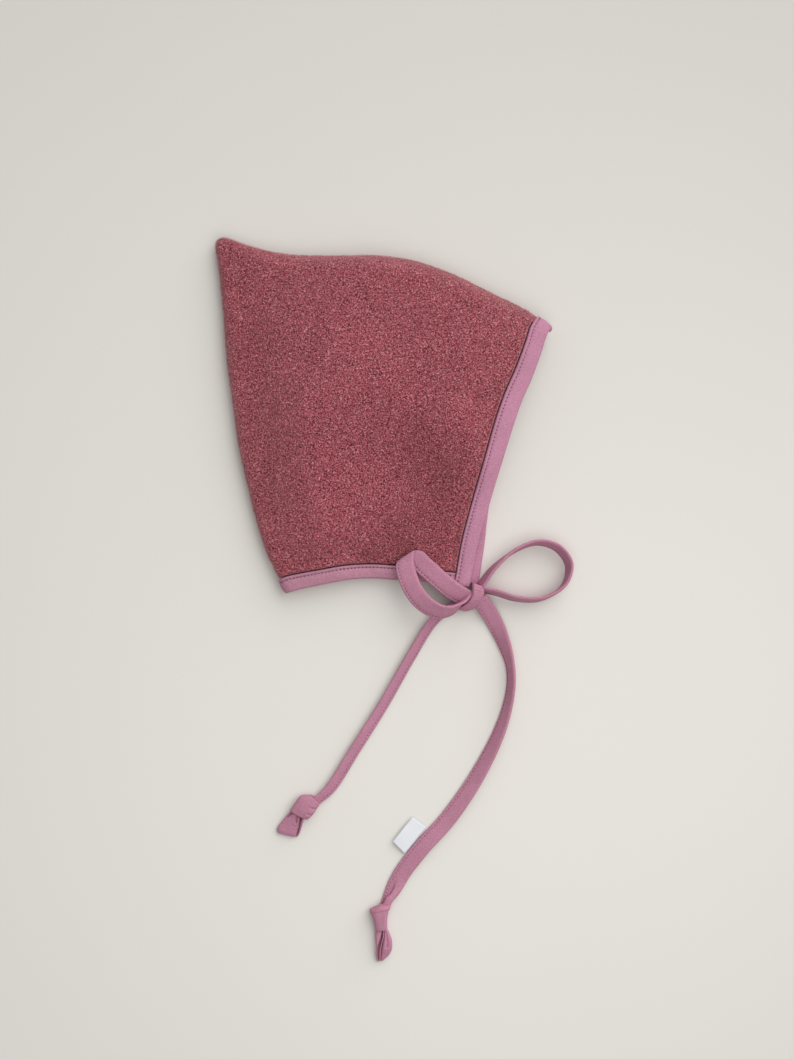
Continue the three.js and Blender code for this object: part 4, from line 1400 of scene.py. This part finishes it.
class BONNET_OT_label(BonnetOperator):
    """The blank woven label, folded double and sewn into the right tail's edge"""

    bl_idname = "bonnet.label"
    bl_label = "Label"

    def make(self, scene):
        ties = scene.bonnet_ties
        sewn_start, sewn_end, free_start, free_end = metres(LABEL_CORNERS)
        along = np.linspace(0, 1, 25)
        out = np.linspace(0, 1, 15)
        sewn = sewn_start + (sewn_end - sewn_start) * along[:, None]
        free = free_start + (free_end - free_start) * along[:, None]
        base = sewn[:, None] + (free - sewn)[:, None] * out[:, None]
        thick = ties.label_thickness / 2 * np.sqrt(np.maximum(1 - np.abs(2 * out - 1) ** 14, 0.04))
        base[..., 2] += LABEL_RISE * out**2 + LABEL_WAVE * np.sin(5 * along)[:, None] * out
        top = base + UP * thick[:, None]
        under = (base - UP * thick[:, None])[:, ::-1]
        reach = along * ties.label_length
        depth = out * ties.label_depth
        rings = np.concatenate([top, under], axis=1)
        lateral = np.concatenate([depth, depth[::-1]])
        uv = np.stack(np.broadcast_arrays(reach[:, None], lateral), axis=-1) / MM
        woven = label_material("woven_label", ties.label_colour)
        skinned("blank_label", rings, woven, ("label",), uv)


class BONNET_OT_ties(BonnetOperator):
    """The two loops of the bow and its two tails, each a folded and stitched tape"""

    bl_idname = "bonnet.ties"
    bl_label = "Ties"

    ON_LEFT = ("left_knot_wrap", "left_tie_end", "left_tie_end_lip", "left_tie_end_lining")
    ON_RIGHT = (
        "right_tail_fold",
        "right_knot_wrap",
        "right_knot_lip",
        "blank_label",
        "right_tie_end",
        "right_tie_end_lip",
        "right_tie_end_fold",
        "right_tie_end_lining",
    )

    def make(self, scene):
        ties, tape = scene.bonnet_ties, scene.bonnet_tape
        material = jersey_material("tie_jersey", tape.tie_colour, TIE_PUCKER)
        left_tail = lying_route(TAIL_LEFT, ties.rolled_width, ties.thickness)
        right_tail = lying_route(TAIL_RIGHT, ties.tail_width, ties.thickness)
        left_loop, right_loop = standing_route(LOOP_LEFT), standing_route(LOOP_RIGHT)
        plan = (
            ("left_loop", left_loop, ties.loop_width, 0, "bow_loop_left", "object", ("bow_band",)),
            ("right_loop", right_loop, ties.loop_width, 0, "bow_loop_right", "object", ()),
            ("left_tail", left_tail, ties.rolled_width, LEFT_DRAWN, "tie_tail_left", "knot", self.ON_LEFT),
            ("right_tail", right_tail, ties.tail_width, RIGHT_DRAWN, "tie_tail_right", "knot", self.ON_RIGHT),
        )
        for name, (centres, widths), full, drawn, node, far_end, on_it in plan:
            rings, uv, centre, lines, depth = tie_tape(centres, widths, full, drawn, ties, tape)
            made = skinned(name, rings, material, (node,), uv)
            stitches = thread_piece(f"{name}_stitches", stitch_rows(lines, depth, tape), tape)


class BONNET_OT_wool(BonnetOperator):
    """The two felted wool sides"""

    bl_idname = "bonnet.wool"
    bl_label = "Wool sides"

    def make(self, scene):
        wool = scene.bonnet_wool
        plan = (
            ("right_felt", "upper", UPPER_STEPS, "right_side_panel"),
            ("left_felt", "lower", LOWER_STEPS, "left_side_panel"),
        )
        for name, side_name, steps, node in plan:
            side = Side(side_name, wool, scene.bonnet_tape)
            made, outer = wool_side(name, side, wool, steps, node)


class BONNET_OT_fuzz(BonnetOperator):
    """Loose fibres on the wool"""

    bl_idname = "bonnet.fuzz"
    bl_label = "Wool fibres"

    def make(self, scene):
        wool = scene.bonnet_wool
        plan = (("right_fuzz", "upper", wool.fibres, 11), ("left_fuzz", "lower", wool.fibres // 3, 12))
        for name, side_name, count, seed in plan:
            wool_fuzz(name, Side(side_name, wool, scene.bonnet_tape), wool, count, seed)


class BONNET_OT_bindings(BonnetOperator):
    """The jersey bindings of the face and neck edges, with their stitches"""

    bl_idname = "bonnet.bindings"
    bl_label = "Bindings"

    def make(self, scene):
        tape = scene.bonnet_tape
        sides = [Side(name, scene.bonnet_wool, tape) for name in ("upper", "lower")]
        steps = np.unique(cloth_steps(*BINDING_STEPS))
        self.face(sides, 1 - steps[::-1], tape)
        self.neck(sides, steps, tape)

    def face(self, sides, b, tape):
        upper, lower = sides
        over, over_uv, over_lines = binding_rings(upper, b, tape, on_face=True)
        under, under_uv, under_lines = binding_rings(lower, b, tape, on_face=True)
        chin = (np.ones(1), np.zeros(1))
        start = over[:1] - upper.frame(*chin).to_crown[:, None] * tape.run_on
        end = under[:1] - lower.frame(*chin).to_crown[:, None] * tape.run_on
        rings = np.concatenate([start, over, under[-2::-1], end])
        turned = under_uv[-2::-1] * (-1, 1) + (2 * over_uv[-1, 0, 0], 0)
        uv = np.concatenate([over_uv[:1], over_uv, turned, turned[-1:]])
        material = jersey_material("face_jersey", tape.face_colour, FACE_PUCKER)
        skinned("face_tape", rings, material, ("face_binding",), uv)
        lines = (over_lines, under_lines)
        self.stitches("face_stitches", "face_tape", lines, sides, edge_steps(b, True), tape)

    def neck(self, sides, a, tape):
        upper, lower = sides
        a = np.append(a[a < NECK_END], NECK_END)
        over, over_uv, over_lines = binding_rings(upper, a, tape, on_face=False)
        under, under_uv, under_lines = binding_rings(lower, a, tape, on_face=False)
        rings = np.concatenate([over[::-1], under[1:]])
        uv = np.concatenate([over_uv[::-1] * (-1, 1), under_uv[1:]])
        material = jersey_material("neck_jersey", tape.neck_colour, NECK_PUCKER)
        skinned("neck_tape", rings, material, ("neck_binding",), uv)
        lines = (over_lines, under_lines)
        self.stitches("neck_stitches", "neck_tape", lines, sides, edge_steps(a, False), tape)

    def stitches(self, name, slot, lines, sides, edge, tape):
        rows = []
        for side, side_lines in zip(sides, lines):
            rows += stitch_rows(side_lines, side.frame(*edge).out, tape)
        thread_piece(name, rows, tape)


class BONNET_PT_pieces(bpy.types.Panel):
    """Lists the bonnet's pieces, sizes and colours"""

    bl_label = "Bonnet"
    bl_idname = "BONNET_PT_pieces"
    bl_space_type = "VIEW_3D"
    bl_region_type = "UI"
    bl_category = "Bonnet"

    def draw(self, context):
        for operator in OPERATORS:
            self.layout.operator(operator.bl_idname)
        for name in GROUPS:
            box = self.layout.box()
            settings = getattr(context.scene, name)
            for key in settings.__annotations__:
                box.prop(settings, key)


OPERATORS = (
    BONNET_OT_stage,
    BONNET_OT_knots,
    BONNET_OT_label,
    BONNET_OT_ties,
    BONNET_OT_wool,
    BONNET_OT_fuzz,
    BONNET_OT_bindings,
)
GROUPS = {
    "bonnet_wool": BonnetWool,
    "bonnet_tape": BonnetTape,
    "bonnet_ties": BonnetTies,
    "bonnet_stage": BonnetStage,
}


def register():
    for group in GROUPS.values():
        bpy.utils.register_class(group)
    for operator in OPERATORS:
        bpy.utils.register_class(operator)
    bpy.utils.register_class(BONNET_PT_pieces)
    for name, group in GROUPS.items():
        setattr(bpy.types.Scene, name, PointerProperty(type=group))


def unregister():
    for name in GROUPS:
        delattr(bpy.types.Scene, name)
    bpy.utils.unregister_class(BONNET_PT_pieces)
    for operator in reversed(OPERATORS):
        bpy.utils.unregister_class(operator)
    for group in reversed(GROUPS.values()):
        bpy.utils.unregister_class(group)


def main():
    register()
    bpy.ops.bonnet.stage()
    bpy.ops.bonnet.knots()
    bpy.ops.bonnet.label()
    bpy.ops.bonnet.ties()
    bpy.ops.bonnet.wool()
    bpy.ops.bonnet.fuzz()
    bpy.ops.bonnet.bindings()


if __name__ == "__main__":
    main()
